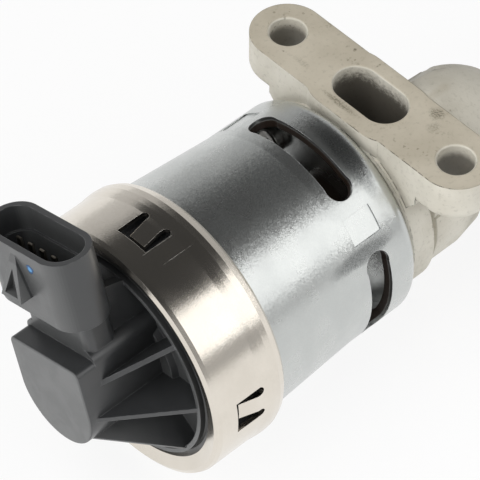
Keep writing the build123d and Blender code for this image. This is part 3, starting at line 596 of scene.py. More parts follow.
@dataclass(frozen=True)
class PlatedSheet(Finish):
    """Plated sheet steel, bright, with a fine spangle, hairlines, a few scratches, painted dark reflections,
    painted edge highlights and painted shade in hollows and on its inner side.
    """

    dark: Colour
    spangle: float
    relief: float
    line_depth: float
    # Pale colour of bare metal at cut edges and scratches, also the painted highlight along edges.
    bare_metal_and_highlight: Colour
    metallic: float = 1.0
    glitter: float = 0.0
    cloud: float = 9 * MM
    shade_reach: float = 1.6 * MM
    shade_blotch: float = 1.5 * MM
    edge_radius: float = 0.14 * MM
    edge_breakup: float = 3 * MM
    line_width: float = 0.12 * MM
    dark_reflections: tuple[DarkReflection, ...] = ()
    reflection_edge: float = 1.6 * MM
    reflection_mottle: float = 0.3 * MM
    scratches: tuple[Scratch, ...] = ()
    scratch_end: float = 1.5 * MM
    scratch_bend: float = 12 * MM
    scratch_break: float = 1.2 * MM
    pads: tuple[Pad, ...] = ()
    pad_border: float = 0.1 * MM
    pad_lean: float = 3.0
    # Colour of the sheet's inner side: painted shade inside the can.
    inside: Optional[Colour] = None
    inside_radius: float = 0.0
    inside_rear: float = 0.0

    def wire(self, g: Graph) -> dict[str, Any]:
        """Builds plating colour, spangle relief, hairlines, scratches, painted dark reflections, painted
        shade in hollows, a painted dark inner side and cut edges with painted highlight.

        Args:
            g: Graph of the material.

        Returns:
            Values or sockets by shader input.
        """
        fine = g.effect(Effects.grain(), Size=self.spangle, Softness=0.25)
        clouds = g.span(g.noise(self.cloud, 4.0), 0.3, 0.7)
        base = g.mix(g.times(clouds, 0.2), self.colour, self.dark)
        base = g.mix(g.span(fine["Fleck"], 0.0, 1.0, 0.0, 0.16, False), base, self.dark)
        # Painted shade: hollows and corners darken towards the dark plating colour.
        hollow_shade_mask = g.effect(Effects.hollow_shade(), Reach=self.shade_reach, Blotch=self.shade_blotch)
        base = g.mix(g.times(hollow_shade_mask["Mask"], 0.5), base, self.dark)
        # Painted reflections: dark soft bands on the can.
        for mark in self.dark_reflections:
            base = g.mix(self._dark_reflection(g, mark), base, scaled(self.dark, 0.35))
        wear_and_highlight = g.effect(Effects.edge_wear_and_highlight(), Radius=self.edge_radius, Breakup=self.edge_breakup)
        # Edges turn pale: partly bare cut edges, partly painted highlight.
        base = g.mix(g.times(wear_and_highlight["Mask"], 0.7), base, self.bare_metal_and_highlight)
        tilt = g.vector("MULTIPLY", fine["Tilt"], (self.glitter,) * 3)
        normal = g.vector("NORMALIZE", g.vector("ADD", wear_and_highlight["Normal"], tilt))
        normal = g.bump(fine["Height"], self.relief, 0.5, normal)
        lines = g.effect(Effects.hairlines(), Width=self.line_width, Stretch=(0.04, 1.0, 0.04))
        normal = g.bump(lines["Height"], self.line_depth, 0.5, normal)
        rough = g.span(clouds, 0.0, 1.0, self.roughness - 0.01, self.roughness + 0.02)
        for mark in self.scratches:
            mask = self._scratch(g, mark)
            base = g.mix(mask, base, self.bare_metal_and_highlight)
            rough = g.plus(rough, g.times(mask, 0.35))
        for pad in self.pads:
            mask, level = self._pad(g, pad)
            normal = g.add("Mix", {0: mask, 4: normal, 5: level}, data_type="VECTOR").outputs[1]
        metal: Any = self.metallic
        # Painted shade: the inner side, seen through the openings, is dark brown and hardly metallic.
        if self.inside is not None:
            mask = self._inner(g)
            base = g.mix(mask, base, self.inside)
            rough = g.plus(rough, g.times(mask, 0.3))
            plated = g.span(mask, 0.0, 1.0, self.metallic, 0.2)
            metal = g.math("SUBTRACT", plated, g.times(wear_and_highlight["Mask"], 0.55), True)
        return {"Base Color": base, "Metallic": metal, "Roughness": rough, "Normal": normal}

    def _dark_reflection(self, g: Graph, mark: DarkReflection) -> Socket:
        """Soft mottled mask of one painted dark reflection on the round of the sheet.

        Args:
            g: Graph of the material.
            mark: The painted dark reflection.

        Returns:
            The mask socket.
        """
        across = g.math("DIVIDE", g.minus(g.turn, math.radians(mark.angle)), math.radians(mark.half_angle))
        along = g.math("DIVIDE", g.minus(g.place[1], mark.y), mark.half_y)
        ragged = g.span(g.noise(self.reflection_edge, 5.0, 0.75), 0.0, 1.0, -0.45, 0.45, False)
        soft = g.span(g.plus(g.squares(across, along), ragged), 0.15, 1.35, mark.depth, 0.0)
        return g.times(soft, g.span(g.noise(self.reflection_mottle, 2.0, 0.7), 0.3, 0.7, 0.5, 1.1))

    def _inner(self, g: Graph) -> Socket:
        """Mask of the sheet's inner side, seen through its openings."""
        near = g.span(g.radius, self.inside_radius - 0.2 * MM, self.inside_radius + 0.2 * MM, 1.0, 0.0)
        return g.times(near, g.span(g.place[1], self.inside_rear - 0.5 * MM, self.inside_rear, 1.0, 0.0))

    def _pad(self, g: Graph, pad: Pad) -> tuple[Socket, Socket]:
        """Mask of a pressed pad and the direction that its flat faces.

        Args:
            g: Graph of the material.
            pad: The pad.

        Returns:
            The mask socket and the normal socket.
        """
        sine, cosine = math.sin(math.radians(pad.angle)), math.cos(math.radians(pad.angle))
        beside = g.math("ABSOLUTE", g.vector("DOT_PRODUCT", g.from_axis, (cosine, 0.0, -sine)))
        ahead = g.vector("DOT_PRODUCT", g.from_axis, (sine, 0.0, cosine))
        along = g.math("ABSOLUTE", g.minus(g.place[1], pad.middle_y))
        mask = g.times(g.span(beside, pad.half_wide - self.pad_border, pad.half_wide, 1.0, 0.0),
                       g.span(along, pad.half_long - self.pad_border, pad.half_long, 1.0, 0.0))
        mask = g.times(mask, g.span(ahead, 0.0, 1 * MM))
        lean = math.radians(pad.angle - self.pad_lean)
        level = g.add("CombineXYZ", {0: math.sin(lean), 1: 0.0, 2: math.cos(lean)}).outputs[0]
        return g.times(mask, 0.9), level

    def _scratch(self, g: Graph, mark: Scratch) -> Socket:
        """Mask of one scratch.

        Args:
            g: Graph of the material.
            mark: The scratch.

        Returns:
            The mask socket.
        """
        drift = g.times(g.minus(g.noise(self.scratch_bend), 0.5), 0.010)
        off = g.math("ABSOLUTE", g.minus(g.plus(g.turn, drift), math.radians(mark.angle)))
        thin = g.span(off, 0.0015, 0.0038, 1.0, 0.0)
        within = g.times(g.span(g.place[1], mark.front_y, mark.front_y + self.scratch_end),
                         g.span(g.place[1], mark.rear_y - self.scratch_end, mark.rear_y, 1.0, 0.0))
        faint = g.span(g.noise(self.scratch_break, 3.0), 0.35, 0.6, 0.25, 0.85)
        return g.times(g.times(thin, within), faint)


@dataclass(frozen=True)
class MouldedPlastic(Finish):
    """Satin moulded plastic with a fine erosion texture, pale dust flecks, paler edges that are partly scuffs
    and partly painted highlight, painted light on faces towards -Y, and painted shade in corners.
    """

    # Paler colour of scuffs and dust, also used for the painted highlight along edges.
    scuff_and_highlight: Colour = linear("6E6F70")
    # Colour of the painted shade in hollows and corners.
    deep: Colour = linear("141414")
    # Painted light: lighter colour of faces that look towards -Y.
    front_light_tone: Colour = linear("4C4D4D")
    flow: float = 7 * MM
    texture: float = 0.14 * MM
    relief: float = 0.012 * MM
    dust: float = 0.5 * MM
    edge_radius: float = 0.24 * MM
    edge_breakup: float = 2 * MM
    hollow_reach: float = 7 * MM
    hollow_blotch: float = 4 * MM
    specular: float = 0.5
    # Lighter colour of the front end face: painted light, with a slightly rougher finish.
    lit_face_colour: Optional[Colour] = None
    face_y: float = 0.0

    def wire(self, g: Graph) -> dict[str, Any]:
        """Builds tone, flow marks, erosion texture, dust, edges that are partly scuffed and partly painted
        highlight, painted light on the front face and on faces towards -Y, and painted shade in hollows.

        Args:
            g: Graph of the material.

        Returns:
            Values or sockets by shader input.
        """
        clouds = g.span(g.noise(self.flow, 4.0, 0.55, 0.6), 0.3, 0.7)
        base = g.mix(g.times(clouds, 0.3), self.colour, scaled(self.colour, 1.5))
        rough = g.span(clouds, 0.0, 1.0, self.roughness - 0.04, self.roughness + 0.06)
        on_face: Any = 0.0
        # Painted light: the front end face is made lighter, and a little rougher.
        if self.lit_face_colour is not None:
            on_face = g.span(g.place[1], self.face_y + 0.12 * MM, self.face_y + 0.35 * MM, 1.0, 0.0)
            base = g.mix(on_face, base, self.lit_face_colour)
            rough = g.plus(rough, g.times(on_face, 0.08))
        # Painted light: faces that look towards -Y are made lighter, except the front face.
        facing = g.add("SeparateXYZ", {0: g.add("NewGeometry").outputs["True Normal"]}).outputs[1]
        square = g.times(g.span(facing, -0.95, -0.55, 0.8, 0.0), g.minus(1.0, on_face))
        base = g.mix(square, base, self.front_light_tone)
        wear_and_highlight = g.effect(Effects.edge_wear_and_highlight(), Radius=self.edge_radius, Breakup=self.edge_breakup)
        dust = g.span(g.noise(self.dust, 4.0, 0.8), 0.70, 0.78, 0.0, 0.18)
        # Edges turn paler, partly scuffs and partly painted highlight; dust flecks share the colour.
        for mask in (g.times(wear_and_highlight["Mask"], 0.75), dust):
            base = g.mix(mask, base, self.scuff_and_highlight)
        # Painted shade: hollows and corners darken towards the deep colour.
        painted_hollow_shade = g.effect(Effects.hollow_shade(), Reach=self.hollow_reach, Blotch=self.hollow_blotch)
        base = g.mix(g.times(painted_hollow_shade["Mask"], 0.4), base, self.deep)
        fine = g.effect(Effects.grain(), Size=self.texture, Softness=0.7)
        normal = g.bump(fine["Height"], self.relief, 0.6, wear_and_highlight["Normal"])
        return {"Base Color": base, "Roughness": rough, "Normal": normal, "Specular IOR Level": self.specular}


@dataclass(frozen=True)
class TurnedMetal(Finish):
    """Machined or drawn metal with fine tool lines around the valve axis."""

    dark: Colour
    line: float = 0.12 * MM
    depth: float = 0.006 * MM
    cloud: float = 4 * MM
    edge_radius: float = 0.12 * MM
    edge_breakup: float = 1.5 * MM
    tint: Optional[Colour] = None
    tint_front_y: float = -33 * MM
    tint_fade: float = 2 * MM

    def wire(self, g: Graph) -> dict[str, Any]:
        """Builds tone, tool lines, oil film, worn edges and heat tint.

        Args:
            g: Graph of the material.

        Returns:
            Values or sockets by shader input.
        """
        along = g.place[1]
        cut = g.math("DIVIDE", g.plus(g.radius, along), self.line)
        waves = g.math("SINE", g.times(cut, math.tau))
        clouds = g.span(g.noise(self.cloud, 4.0), 0.35, 0.7)
        wear_and_highlight = g.effect(Effects.edge_wear_and_highlight(), Radius=self.edge_radius, Breakup=self.edge_breakup)
        base = g.mix(g.times(clouds, 0.5), self.colour, self.dark)
        base = g.mix(g.times(wear_and_highlight["Mask"], 0.4), base, scaled(self.colour, 1.4))
        rough = g.span(clouds, 0.0, 1.0, self.roughness, self.roughness + 0.12)
        metal: Any = 1.0
        if self.tint is not None:
            hot = g.span(along, self.tint_front_y, self.tint_front_y + self.tint_fade)
            base = g.mix(hot, base, self.tint)
            rough = g.plus(rough, g.times(hot, 0.15))
            metal = g.span(hot, 0.0, 1.0, 1.0, 0.35)
        normal = g.bump(waves, self.depth, 0.4, wear_and_highlight["Normal"])
        return {"Base Color": base, "Metallic": metal, "Roughness": rough, "Normal": normal}


@dataclass(frozen=True)
class SoftRubber(Finish):
    """Matt rubber or fibre with a dry bloom."""

    bloom: Colour
    fibre: float = 0.4 * MM
    patch: float = 2.5 * MM
    relief: float = 0.03 * MM

    def wire(self, g: Graph) -> dict[str, Any]:
        """Builds tone, bloom and fine fibre relief.

        Args:
            g: Graph of the material.

        Returns:
            Values or sockets by shader input.
        """
        bloom = g.span(g.noise(self.patch, 5.0, 0.6), 0.45, 0.75, 0.0, 0.4)
        rough = g.span(bloom, 0.0, 0.4, self.roughness, self.roughness + 0.15)
        fine = g.effect(Effects.grain(), Size=self.fibre, Softness=0.5)
        return {"Base Color": g.mix(bloom, self.colour, self.bloom), "Roughness": rough,
                "Normal": g.bump(fine["Height"], self.relief, 0.5)}


@dataclass(frozen=True)
class WoundWire(Finish):
    """Enamelled wire, wound turn by turn about the valve axis."""

    enamel: Colour
    gap: Colour = linear("1C100A")
    turn: float = 0.5 * MM
    patch: float = 3 * MM
    relief: float = 0.2 * MM

    def wire(self, g: Graph) -> dict[str, Any]:
        """Builds the turns, their shaded gaps and the enamel's tone.

        Args:
            g: Graph of the material.

        Returns:
            Values or sockets by shader input.
        """
        crown = g.math("ABSOLUTE", g.math("SINE", g.times(g.place[1], math.pi / self.turn)))
        tone = g.mix(g.span(g.noise(self.patch, 3.0), 0.35, 0.65), self.colour, self.enamel)
        shaded = g.mix(g.span(crown, 0.1, 0.5, 0.75, 0.0), tone, self.gap)
        return {"Base Color": shaded, "Metallic": 0.8, "Coat Weight": 0.6,
                "Normal": g.bump(crown, self.relief, 0.8)}


@dataclass(frozen=True)
class SensorBoard(Finish):
    """Fibre board with two printed resistor tracks."""

    track: Colour
    weave_tone: Colour = linear("6B5A33")
    pitch: float = 0.5 * MM
    relief: float = 0.02 * MM
    middle: float = 8.27 * MM
    track_off: float = 2.4 * MM
    track_half: float = 1.0 * MM

    def wire(self, g: Graph) -> dict[str, Any]:
        """Builds weave and tracks.

        Args:
            g: Graph of the material.

        Returns:
            Values or sockets by shader input.
        """
        turn = math.radians(CAP_CLOCK)
        across = g.vector("DOT_PRODUCT", g.where, (math.cos(turn), 0.0, -math.sin(turn)))
        threads = [g.math("SINE", g.times(way, math.tau / self.pitch)) for way in (across, g.place[1])]
        weave = g.times(*threads)
        base = g.mix(g.span(weave, -1.0, 1.0, 0.0, 0.35), self.colour, self.weave_tone)
        from_middle = g.math("ABSOLUTE", g.minus(across, self.middle))
        lane = g.math("ABSOLUTE", g.minus(from_middle, self.track_off))
        base = g.mix(g.span(lane, self.track_half, self.track_half + 0.1 * MM, 1.0, 0.0), base, self.track)
        return {"Base Color": base, "Normal": g.bump(weave, self.relief, 0.4)}


@dataclass(frozen=True)
class MarkPaint(Finish):
    """Dab of inspection paint, thick in the middle."""

    rim: Colour
    centre: tuple[float, float, float]
    reach: float
    ragged: float = 0.35 * MM
    edge: float = 0.4 * MM
    skin: float = 0.3 * MM
    relief: float = 0.02 * MM

    def wire(self, g: Graph) -> dict[str, Any]:
        """Builds the pale middle, the darker rim and the paint's skin.

        Args:
            g: Graph of the material.

        Returns:
            Values or sockets by shader input.
        """
        ragged = g.times(g.noise(self.edge, 3.0), self.ragged)
        off = g.plus(g.vector("DISTANCE", g.where, self.centre), ragged)
        base = g.mix(g.span(off, 0.55 * self.reach, 0.85 * self.reach), self.colour, self.rim)
        return {"Base Color": base, "Normal": g.bump(g.noise(self.skin), self.relief, 0.4)}


FACE_STAINS = (
    Stain(15.0 * MM, 6.9 * MM, 2.6 * MM, 2.4 * MM, 0.90),
    Stain(17.4 * MM, 3.2 * MM, 2.0 * MM, 2.4 * MM, 0.45),
    Stain(-12.8 * MM, 7.5 * MM, 0.60 * MM, 0.50 * MM, 1.0),
    Stain(-24.0 * MM, -5.3 * MM, 0.50 * MM, 0.42 * MM, 0.9),
    Stain(-5.3 * MM, 7.8 * MM, 0.40 * MM, 1.4 * MM, 0.75),
    Stain(-2.6 * MM, -7.3 * MM, 7.5 * MM, 1.2 * MM, 0.85),
    Stain(-18.5 * MM, -4.6 * MM, 3.4 * MM, 1.2 * MM, 0.30),
)
# Painted dark reflections on the can: one beside a pad, one band behind the first slot.
CAN_DARK_REFLECTIONS = (
    DarkReflection(60.5, -27.0 * MM, 4.4, 10.0 * MM, 0.75),
    DarkReflection(18.0, -16.8 * MM, 24.0, 2.6 * MM, 0.80),
)
RING_SCRATCHES = (
    Scratch(6.0, -64.5 * MM, -75.0 * MM),
    Scratch(14.0, -63.0 * MM, -73.0 * MM),
)
CAN_PADS = tuple(Pad(48.3 + 90.0 * turn, -23.7 * MM, 3.35 * MM, 4.0 * MM) for turn in range(4))

FINISHES: dict[str, Finish] = {
    finish.slot: finish for finish in (
        CastAlloy("cast_alloy", linear("C4BCAB"), 0.62, stains=FACE_STAINS),
        PlatedSheet("zinc_steel", (0.60, 0.615, 0.60), 0.28, (0.40, 0.42, 0.42), 0.22 * MM, 0.012 * MM,
                    0.002 * MM, (0.86, 0.88, 0.90), metallic=0.97, glitter=0.09, dark_reflections=CAN_DARK_REFLECTIONS,
                    pads=CAN_PADS, inside=linear("2A211B"), inside_radius=28.3 * MM, inside_rear=-17.5 * MM),
        PlatedSheet("nickel_steel", (0.78, 0.73, 0.655), 0.19, (0.58, 0.53, 0.45), 0.22 * MM, 0.006 * MM,
                    0.0015 * MM, (0.93, 0.90, 0.85), glitter=0.03, scratches=RING_SCRATCHES),
        PlatedSheet("shield_sheet", (0.050, 0.038, 0.030), 0.42, (0.028, 0.022, 0.018), 0.5 * MM, 0.010 * MM,
                    0.002 * MM, (0.12, 0.10, 0.08), metallic=0.6),
        PlatedSheet("sleeve_steel", (0.62, 0.61, 0.58), 0.20, (0.42, 0.41, 0.39), 0.3 * MM, 0.004 * MM,
                    0.002 * MM, (0.8, 0.79, 0.76)),
        MouldedPlastic("cap_plastic", linear("303132"), 0.34, specular=0.80, lit_face_colour=linear("585959"),
                       face_y=-98.6 * MM),
        MouldedPlastic("bobbin_plastic", linear("2B2B2B"), 0.50, front_light_tone=linear("333333")),
        MouldedPlastic("guide_plastic", linear("C2B9A4"), 0.45, linear("E0DACB"), linear("8A8270"),
                       linear("CCC4B0")),
        MouldedPlastic("plunger_plastic", linear("DDD9D0"), 0.42, linear("F2F0EA"), linear("A8A296"),
                       linear("E4E0D8")),
        TurnedMetal("hard_steel", (0.42, 0.41, 0.40), 0.30, (0.24, 0.22, 0.20)),
        TurnedMetal("bronze", (0.66, 0.47, 0.26), 0.32, (0.42, 0.28, 0.15)),
        TurnedMetal("turned_steel", (0.50, 0.49, 0.47), 0.30, (0.32, 0.31, 0.29), tint=linear("3A2E27")),
        TurnedMetal("screw_steel", (0.45, 0.44, 0.42), 0.34, (0.28, 0.27, 0.25), 0.2 * MM),
        TurnedMetal("spring_steel", (0.55, 0.54, 0.52), 0.26, (0.36, 0.35, 0.33), 0.3 * MM),
        TurnedMetal("tinned_brass", (0.34, 0.31, 0.26), 0.42, (0.20, 0.18, 0.15), 0.25 * MM),
        SoftRubber("seal_rubber", linear("232323"), 0.62, linear("4A4A48")),
        SoftRubber("gasket", linear("4A4743"), 0.75, linear("6B675F")),
        WoundWire("winding", (0.55, 0.22, 0.09), 0.30, (0.42, 0.14, 0.05)),
        SensorBoard("board", linear("B59A63"), 0.50, linear("26241F")),
    )
}


@dataclass
class SubAssembly:
    """Group of CAD nodes and further pieces that belong together."""

    name: str
    nodes: tuple[str, ...] = ()

    def dress(self) -> None:
        """Gives each CAD node the finish of its slot."""
        for node in self.nodes:
            piece = frame["nodes"][node]
            finish = FINISHES[SLOTS[node]].material()
            if not piece.material_slots:
                piece.data.materials.append(finish)
            for holder in piece.material_slots:
                holder.material = finish
            LOG.info("%s: %s wears %s", self.name, node, SLOTS[node])

    def trim(self) -> list[bpy.types.Object]:
        """Builds the further pieces of this sub-assembly."""
        raise NotImplementedError

    @staticmethod
    def piece(data: bpy.types.Mesh, finish: Finish, slot: str) -> bpy.types.Object:
        """Turns a mesh into a piece that rides on the housing.

        Args:
            data: The mesh, which gives the piece its name.
            finish: Its finish.
            slot: Not used.

        Returns:
            The new object.
        """
        data.materials.clear()
        data.materials.append(finish.material())
        piece = bpy.data.objects.new(data.name, data)
        bpy.context.scene.collection.objects.link(piece)
        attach(piece, HOUSING)
        LOG.info("piece %s rides on %s", data.name, HOUSING)
        return piece

    @classmethod
    def reshaped(cls, node: str, move: Callable[[Vector], Vector]) -> bpy.types.Object:
        """Piece that stands for a CAD node with some of its surface moved.

        Args:
            node: Name of the CAD node.
            move: Gives the new place of a point of the node.

        Returns:
            The new object.
        """
        data = frame["nodes"][node].data.copy()
        data.name = f"{node}_fitted"
        for vertex in data.vertices:
            vertex.co = move(vertex.co)
        piece = cls.piece(data, FINISHES[SLOTS[node]], SLOTS[node])
        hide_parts(node)
        LOG.info("piece %s stands for %s", data.name, node)
        return piece

    @classmethod
    def spring(cls, node: str, slide: Slide) -> bpy.types.Object:
        """Spring that stands for a CAD node, as an unchanged copy with a mesh of its own.

        Args:
            node: Name of the CAD node.
            slide: Not used.

        Returns:
            The new object.
        """
        piece = cls.reshaped(node, Vector.copy)
        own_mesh(piece)
        return piece


@dataclass
class ValveBase(SubAssembly):
    """Casting with its seat, stem guide and pintle."""

    nodes: tuple[str, ...] = (
        "base_casting", "valve_seat", "pintle", "stem_bush", "bush_holder", "stem_scraper", "base_gasket")
    flange_rear_y: float = 9.25 * MM
    body_end_y: float = 21.02 * MM
    body_reach: float = 26.9 * MM
    squeeze: float = 0.28
    squeeze_low_z: float = -42 * MM
    squeeze_high_z: float = -18 * MM
    boss_x: float = 10 * MM
    boss_z: float = -15 * MM
    bore_reach: float = 8.3 * MM

    def trim(self) -> list[bpy.types.Object]:
        """Builds the casting with its rear drawn in as photographed."""
        return [self.reshaped("base_casting", self._drawn_in)]

    def _drawn_in(self, point: Vector) -> Vector:
        """Moves a point of the casting so that its chamber body slopes up to the flange's rear.

        Args:
            point: Point of the casting.

        Returns:
            Its new place; the gas tube boss and its bore stay.
        """
        in_body = math.hypot(point.x, point.z - AXIS_Z) < self.body_reach
        in_bore = math.hypot(point.x - self.boss_x, point.z - self.boss_z) < self.bore_reach
        if not self.flange_rear_y < point.y < self.body_end_y or not in_body or in_bore:
            return point.copy()
        share = (point.z - self.squeeze_low_z) / (self.squeeze_high_z - self.squeeze_low_z)
        factor = 1 + min(1.0, max(0.0, share)) * (self.squeeze - 1)
        return Vector((point.x, self.flange_rear_y + factor * (point.y - self.flange_rear_y), point.z))


@dataclass
class Solenoid(SubAssembly):
    """Can, magnet circuit, coil and crimp ring.

    Each row of rolled has a place along the valve axis and how far the ring moves there, along
    the axis and out from it.
    """

    nodes: tuple[str, ...] = (
        "solenoid_can", "base_screws", "stem_shield", "lower_pole", "stop_washer", "armature_sleeve",
        "armature", "return_spring", "bobbin", "coil", "coil_pins", "upper_pole", "crimp_ring")
    rolled: tuple[tuple[float, float, float], ...] = (
        (-65.4 * MM, 0.0, 0.0),
        (-62.0 * MM, 0.0, -0.55 * MM),
        (-59.2 * MM, -1.0 * MM, -0.45 * MM),
        (-57.0 * MM, -1.6 * MM, -0.30 * MM),
        (-54.9 * MM, -2.95 * MM, 0.50 * MM),
        (-53.8 * MM, -3.7 * MM, 0.24 * MM),
    )
    rim_radius: float = 32.5 * MM
    rim_rear_y: float = -57.95 * MM

    def trim(self) -> list[bpy.types.Object]:
        """Builds the crimp ring with its tightly rolled end and a copy of the return spring."""
        return [self.reshaped("crimp_ring", self._rolled_in), self.spring("return_spring", Slide.VALVE)]

    def _rolled_in(self, point: Vector) -> Vector:
        """Moves a point of the crimp ring so that its rear end is rolled tightly behind the can's rim.

        Args:
            point: Point of the ring.

        Returns:
            Its new place.
        """
        out = Vector((point.x, 0.0, point.z - AXIS_Z))
        shift_y, shift_out = self._shift(point.y)
        new_y = point.y + shift_y
        if out.length < self.rim_radius and point.y > self.rim_rear_y - 0.1 * MM:
            new_y = max(new_y, self.rim_rear_y)
        out = out.normalized() * (out.length + shift_out)
        return Vector((out.x, new_y, out.z + AXIS_Z))

    def _shift(self, y: float) -> tuple[float, float]:
        """How far the rolled end moves a point.

        Args:
            y: Place of the point along the valve axis.

        Returns:
            The way along the axis and the way out from it.
        """
        if y <= self.rolled[0][0]:
            return 0.0, 0.0
        for (y0, along0, out0), (y1, along1, out1) in zip(self.rolled, self.rolled[1:]):
            if y <= y1:
                share = (y - y0) / (y1 - y0)
                return along0 + share * (along1 - along0), out0 + share * (out1 - out0)
        return self.rolled[-1][1:]


@dataclass
class SensorHead(SubAssembly):
    """Cap with its connector and the position sensor inside it."""

    nodes: tuple[str, ...] = (
        "cap_seal", "sensor_cap", "sensor_guide", "sensor_plunger", "wiper", "plunger_spring",
        "sensor_board", "connector_blades")
    dot_u: float = 38.8 * MM
    dot_v: float = 4.3 * MM
    dot_y: float = -97.7 * MM
    dot_radius: float = 1.2 * MM
    dot_height: float = 0.10 * MM
    dot_rings: int = 5
    dot_steps: int = 28

    def trim(self) -> list[bpy.types.Object]:
        """Builds the dab of paint on the shroud and a copy of the plunger spring."""
        return [self._paint_dab(), self.spring("plunger_spring", Slide.PLUNGER)]

    def _paint_dab(self) -> bpy.types.Object:
        """Builds the low domed dab of inspection paint on the front wall of the shroud.

        Returns:
            The new object.
        """
        mesh = bmesh.new()
        loops = []
        for ring in range(1, self.dot_rings + 1):
            share = ring / self.dot_rings
            rise = self.dot_height * (1 - share ** 2)
            loop = []
            for step in range(self.dot_steps):
                turn = math.tau * step / self.dot_steps
                wobble = 1 + 0.10 * math.sin(3 * turn + 0.6) + 0.06 * math.sin(5 * turn)
                reach = self.dot_radius * share * wobble
                u, v = self.dot_u + reach * math.sin(turn), self.dot_v + reach * math.cos(turn)
                loop.append(mesh.verts.new(cap_point(u, v, self.dot_y - rise)))
            loops.append(loop)
        top = mesh.verts.new(cap_point(self.dot_u, self.dot_v, self.dot_y - self.dot_height))
        for step in range(self.dot_steps):
            after = (step + 1) % self.dot_steps
            mesh.faces.new((top, loops[0][step], loops[0][after]))
            for inner, outer in zip(loops, loops[1:]):
                mesh.faces.new((inner[step], outer[step], outer[after], inner[after]))
        mesh.faces.new(loops[-1])
        bmesh.ops.recalc_face_normals(mesh, faces=mesh.faces)
        data = bpy.data.meshes.new("paint_dab")
        mesh.to_mesh(data)
        mesh.free()
        data.shade_smooth()
        centre = tuple(cap_point(self.dot_u, self.dot_v, self.dot_y))
        paint = MarkPaint("paint", linear("4E8ABB"), 0.35, linear("234A72"), centre, self.dot_radius)
        return self.piece(data, paint, "cap_plastic")


@dataclass(frozen=True)
class Lamp:
    """One soft box, aimed at the valve."""

    name: str
    direction: tuple[float, float, float]
    distance: float
    wide: float
    tall: float
    radiance: float
    in_reflections: bool


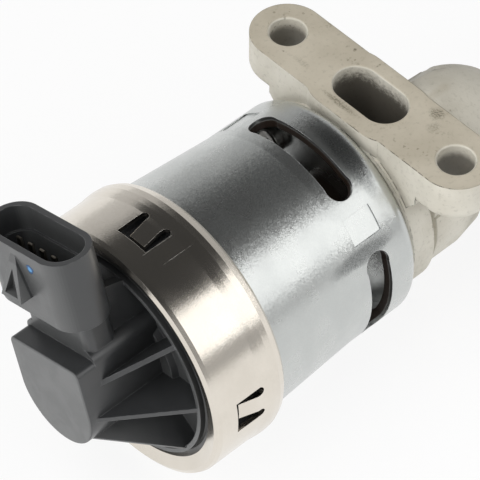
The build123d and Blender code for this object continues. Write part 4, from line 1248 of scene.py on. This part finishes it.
@dataclass
class Studio:
    """Pale floor, world light, soft boxes and the camera."""

    floor_drop: float = 0.25 * MM
    floor_half: float = 4.0
    floor_tone: float = 0.93
    floor_glow: float = 0.86
    wall_left: float = 0.60
    wall_right: float = 0.42
    ceiling: float = 0.10
    ceiling_slope: float = 0.22
    aim: tuple[float, float, float] = (0.0, -35 * MM, -25 * MM)
    camera_place: tuple[float, float, float] = (362.33 * MM, -378.19 * MM, 552.98 * MM)
    camera_azimuth: float = 47.10
    camera_elevation: float = 49.16
    focal_pixels: float = 3265.7
    picture_pixels: float = 480.0
    sensor_mm: float = 36.0
    near: float = 0.05
    far: float = 20.0
    lamps: tuple[Lamp, ...] = (
        Lamp("key_band", (0.712, 0.445, 0.543), 0.85, 1.5, 0.58, 1.25, True),
        Lamp("top_fill", (-0.10, -0.50, 0.86), 1.2, 1.1, 1.1, 2.6, False),
        Lamp("front_fill", (0.12, -0.96, 0.22), 1.2, 0.9, 0.9, 2.7, False),
    )

    def build(self) -> None:
        """Builds the whole studio."""
        self._floor()
        self._world()
        for lamp in self.lamps:
            self._lamp(lamp)
        self._camera()
        bpy.context.scene.view_settings.view_transform = "Standard"

    def _floor(self) -> None:
        """White floor that stays white in the picture and keeps the soft shadow."""
        mesh = bmesh.new()
        height = cad_box[0][2] - self.floor_drop
        half = self.floor_half
        corners = ((-half, -half), (half, -half), (half, half), (-half, half))
        mesh.faces.new([mesh.verts.new((x, y, height)) for x, y in corners])
        data = bpy.data.meshes.new("floor")
        mesh.to_mesh(data)
        mesh.free()
        made = bpy.data.materials.new("finish_floor")
        made.use_nodes = True
        made.node_tree.nodes.clear()
        g = Graph(made.node_tree)
        matt = g.add("BsdfDiffuse", {"Color": (self.floor_tone, self.floor_tone, self.floor_tone, 1.0)})
        glow = g.add("Emission", {"Color": (1.0, 1.0, 1.0, 1.0), "Strength": 1.0})
        path = g.add("LightPath").outputs
        seen = g.math("MAXIMUM", g.math("MAXIMUM", path["Is Camera Ray"], path["Is Glossy Ray"]),
                      path["Is Transmission Ray"])
        share = g.times(seen, self.floor_glow)
        blend = g.add("MixShader", {0: share, 1: matt.outputs[0], 2: glow.outputs[0]})
        g.add("OutputMaterial", {"Surface": blend.outputs[0]})
        data.materials.append(made)
        floor = bpy.data.objects.new("floor", data)
        bpy.context.scene.collection.objects.link(floor)

    def _world(self) -> None:
        """Pale room that darkens towards its ceiling; white where the camera sees it."""
        world = bpy.data.worlds.new("studio_room")
        bpy.context.scene.world = world
        world.use_nodes = True
        world.node_tree.nodes.clear()
        g = Graph(world.node_tree)
        g.where = g.add("TexCoord").outputs["Generated"]
        x, _, z = g.place
        wall = g.span(x, -0.6, 0.8, self.wall_left, self.wall_right)
        wall = g.times(wall, g.span(z, 0.0, 0.45, 1.05, 0.88))
        ceiling = g.span(g.minus(z, g.times(x, self.ceiling_slope)), 0.56, 0.76, 1.0, self.ceiling)
        seen = g.add("LightPath").outputs["Is Camera Ray"]
        strength = g.add("Mix", {0: seen, 2: g.times(wall, ceiling), 3: 1.0}).outputs[0]
        light = g.add("Background", {"Color": (1.0, 1.0, 1.0, 1.0), "Strength": strength})
        g.add("OutputWorld", {"Surface": light.outputs[0]})

    def _lamp(self, lamp: Lamp) -> None:
        """Adds one soft box that faces the valve.

        Args:
            lamp: The soft box.
        """
        data = bpy.data.lights.new(lamp.name, "AREA")
        data.shape = "RECTANGLE"
        data.size = lamp.wide
        data.size_y = lamp.tall
        data.energy = lamp.radiance * math.pi * lamp.wide * lamp.tall
        holder = bpy.data.objects.new(lamp.name, data)
        bpy.context.scene.collection.objects.link(holder)
        out = Vector(lamp.direction).normalized()
        along = Vector((0.0, 1.0, 0.0))
        along = (along - out * along.dot(out)).normalized()
        facing = Matrix((along, out.cross(along), out)).transposed().to_4x4()
        holder.matrix_world = Matrix.Translation(Vector(self.aim) + out * lamp.distance) @ facing
        holder.visible_glossy = lamp.in_reflections
        holder.visible_camera = False

    def _camera(self) -> None:
        """Camera at the photograph's place and angle."""
        data = bpy.data.cameras.new("camera")
        data.sensor_width = self.sensor_mm
        data.sensor_fit = "HORIZONTAL"
        data.lens = self.focal_pixels * self.sensor_mm / self.picture_pixels
        data.clip_start = self.near
        data.clip_end = self.far
        turn = math.radians(self.camera_azimuth)
        tilt = math.radians(90 - self.camera_elevation)
        camera = bpy.data.objects.new("camera", data)
        camera.location = self.camera_place
        camera.rotation_euler = (tilt, 0.0, turn)
        bpy.context.scene.collection.objects.link(camera)
        bpy.context.scene.camera = camera


def main() -> None:
    """Dresses every sub-assembly, adds its further pieces and sets up the studio."""
    logging.basicConfig(level=logging.INFO, format="%(name)s %(message)s")
    for part in (ValveBase("base"), Solenoid("solenoid"), SensorHead("sensor_head")):
        part.dress()
        made = part.trim()
        LOG.info("%s: %d nodes, %d further pieces", part.name, len(part.nodes), len(made))
    Studio().build()


if __name__ == "__main__":
    main()
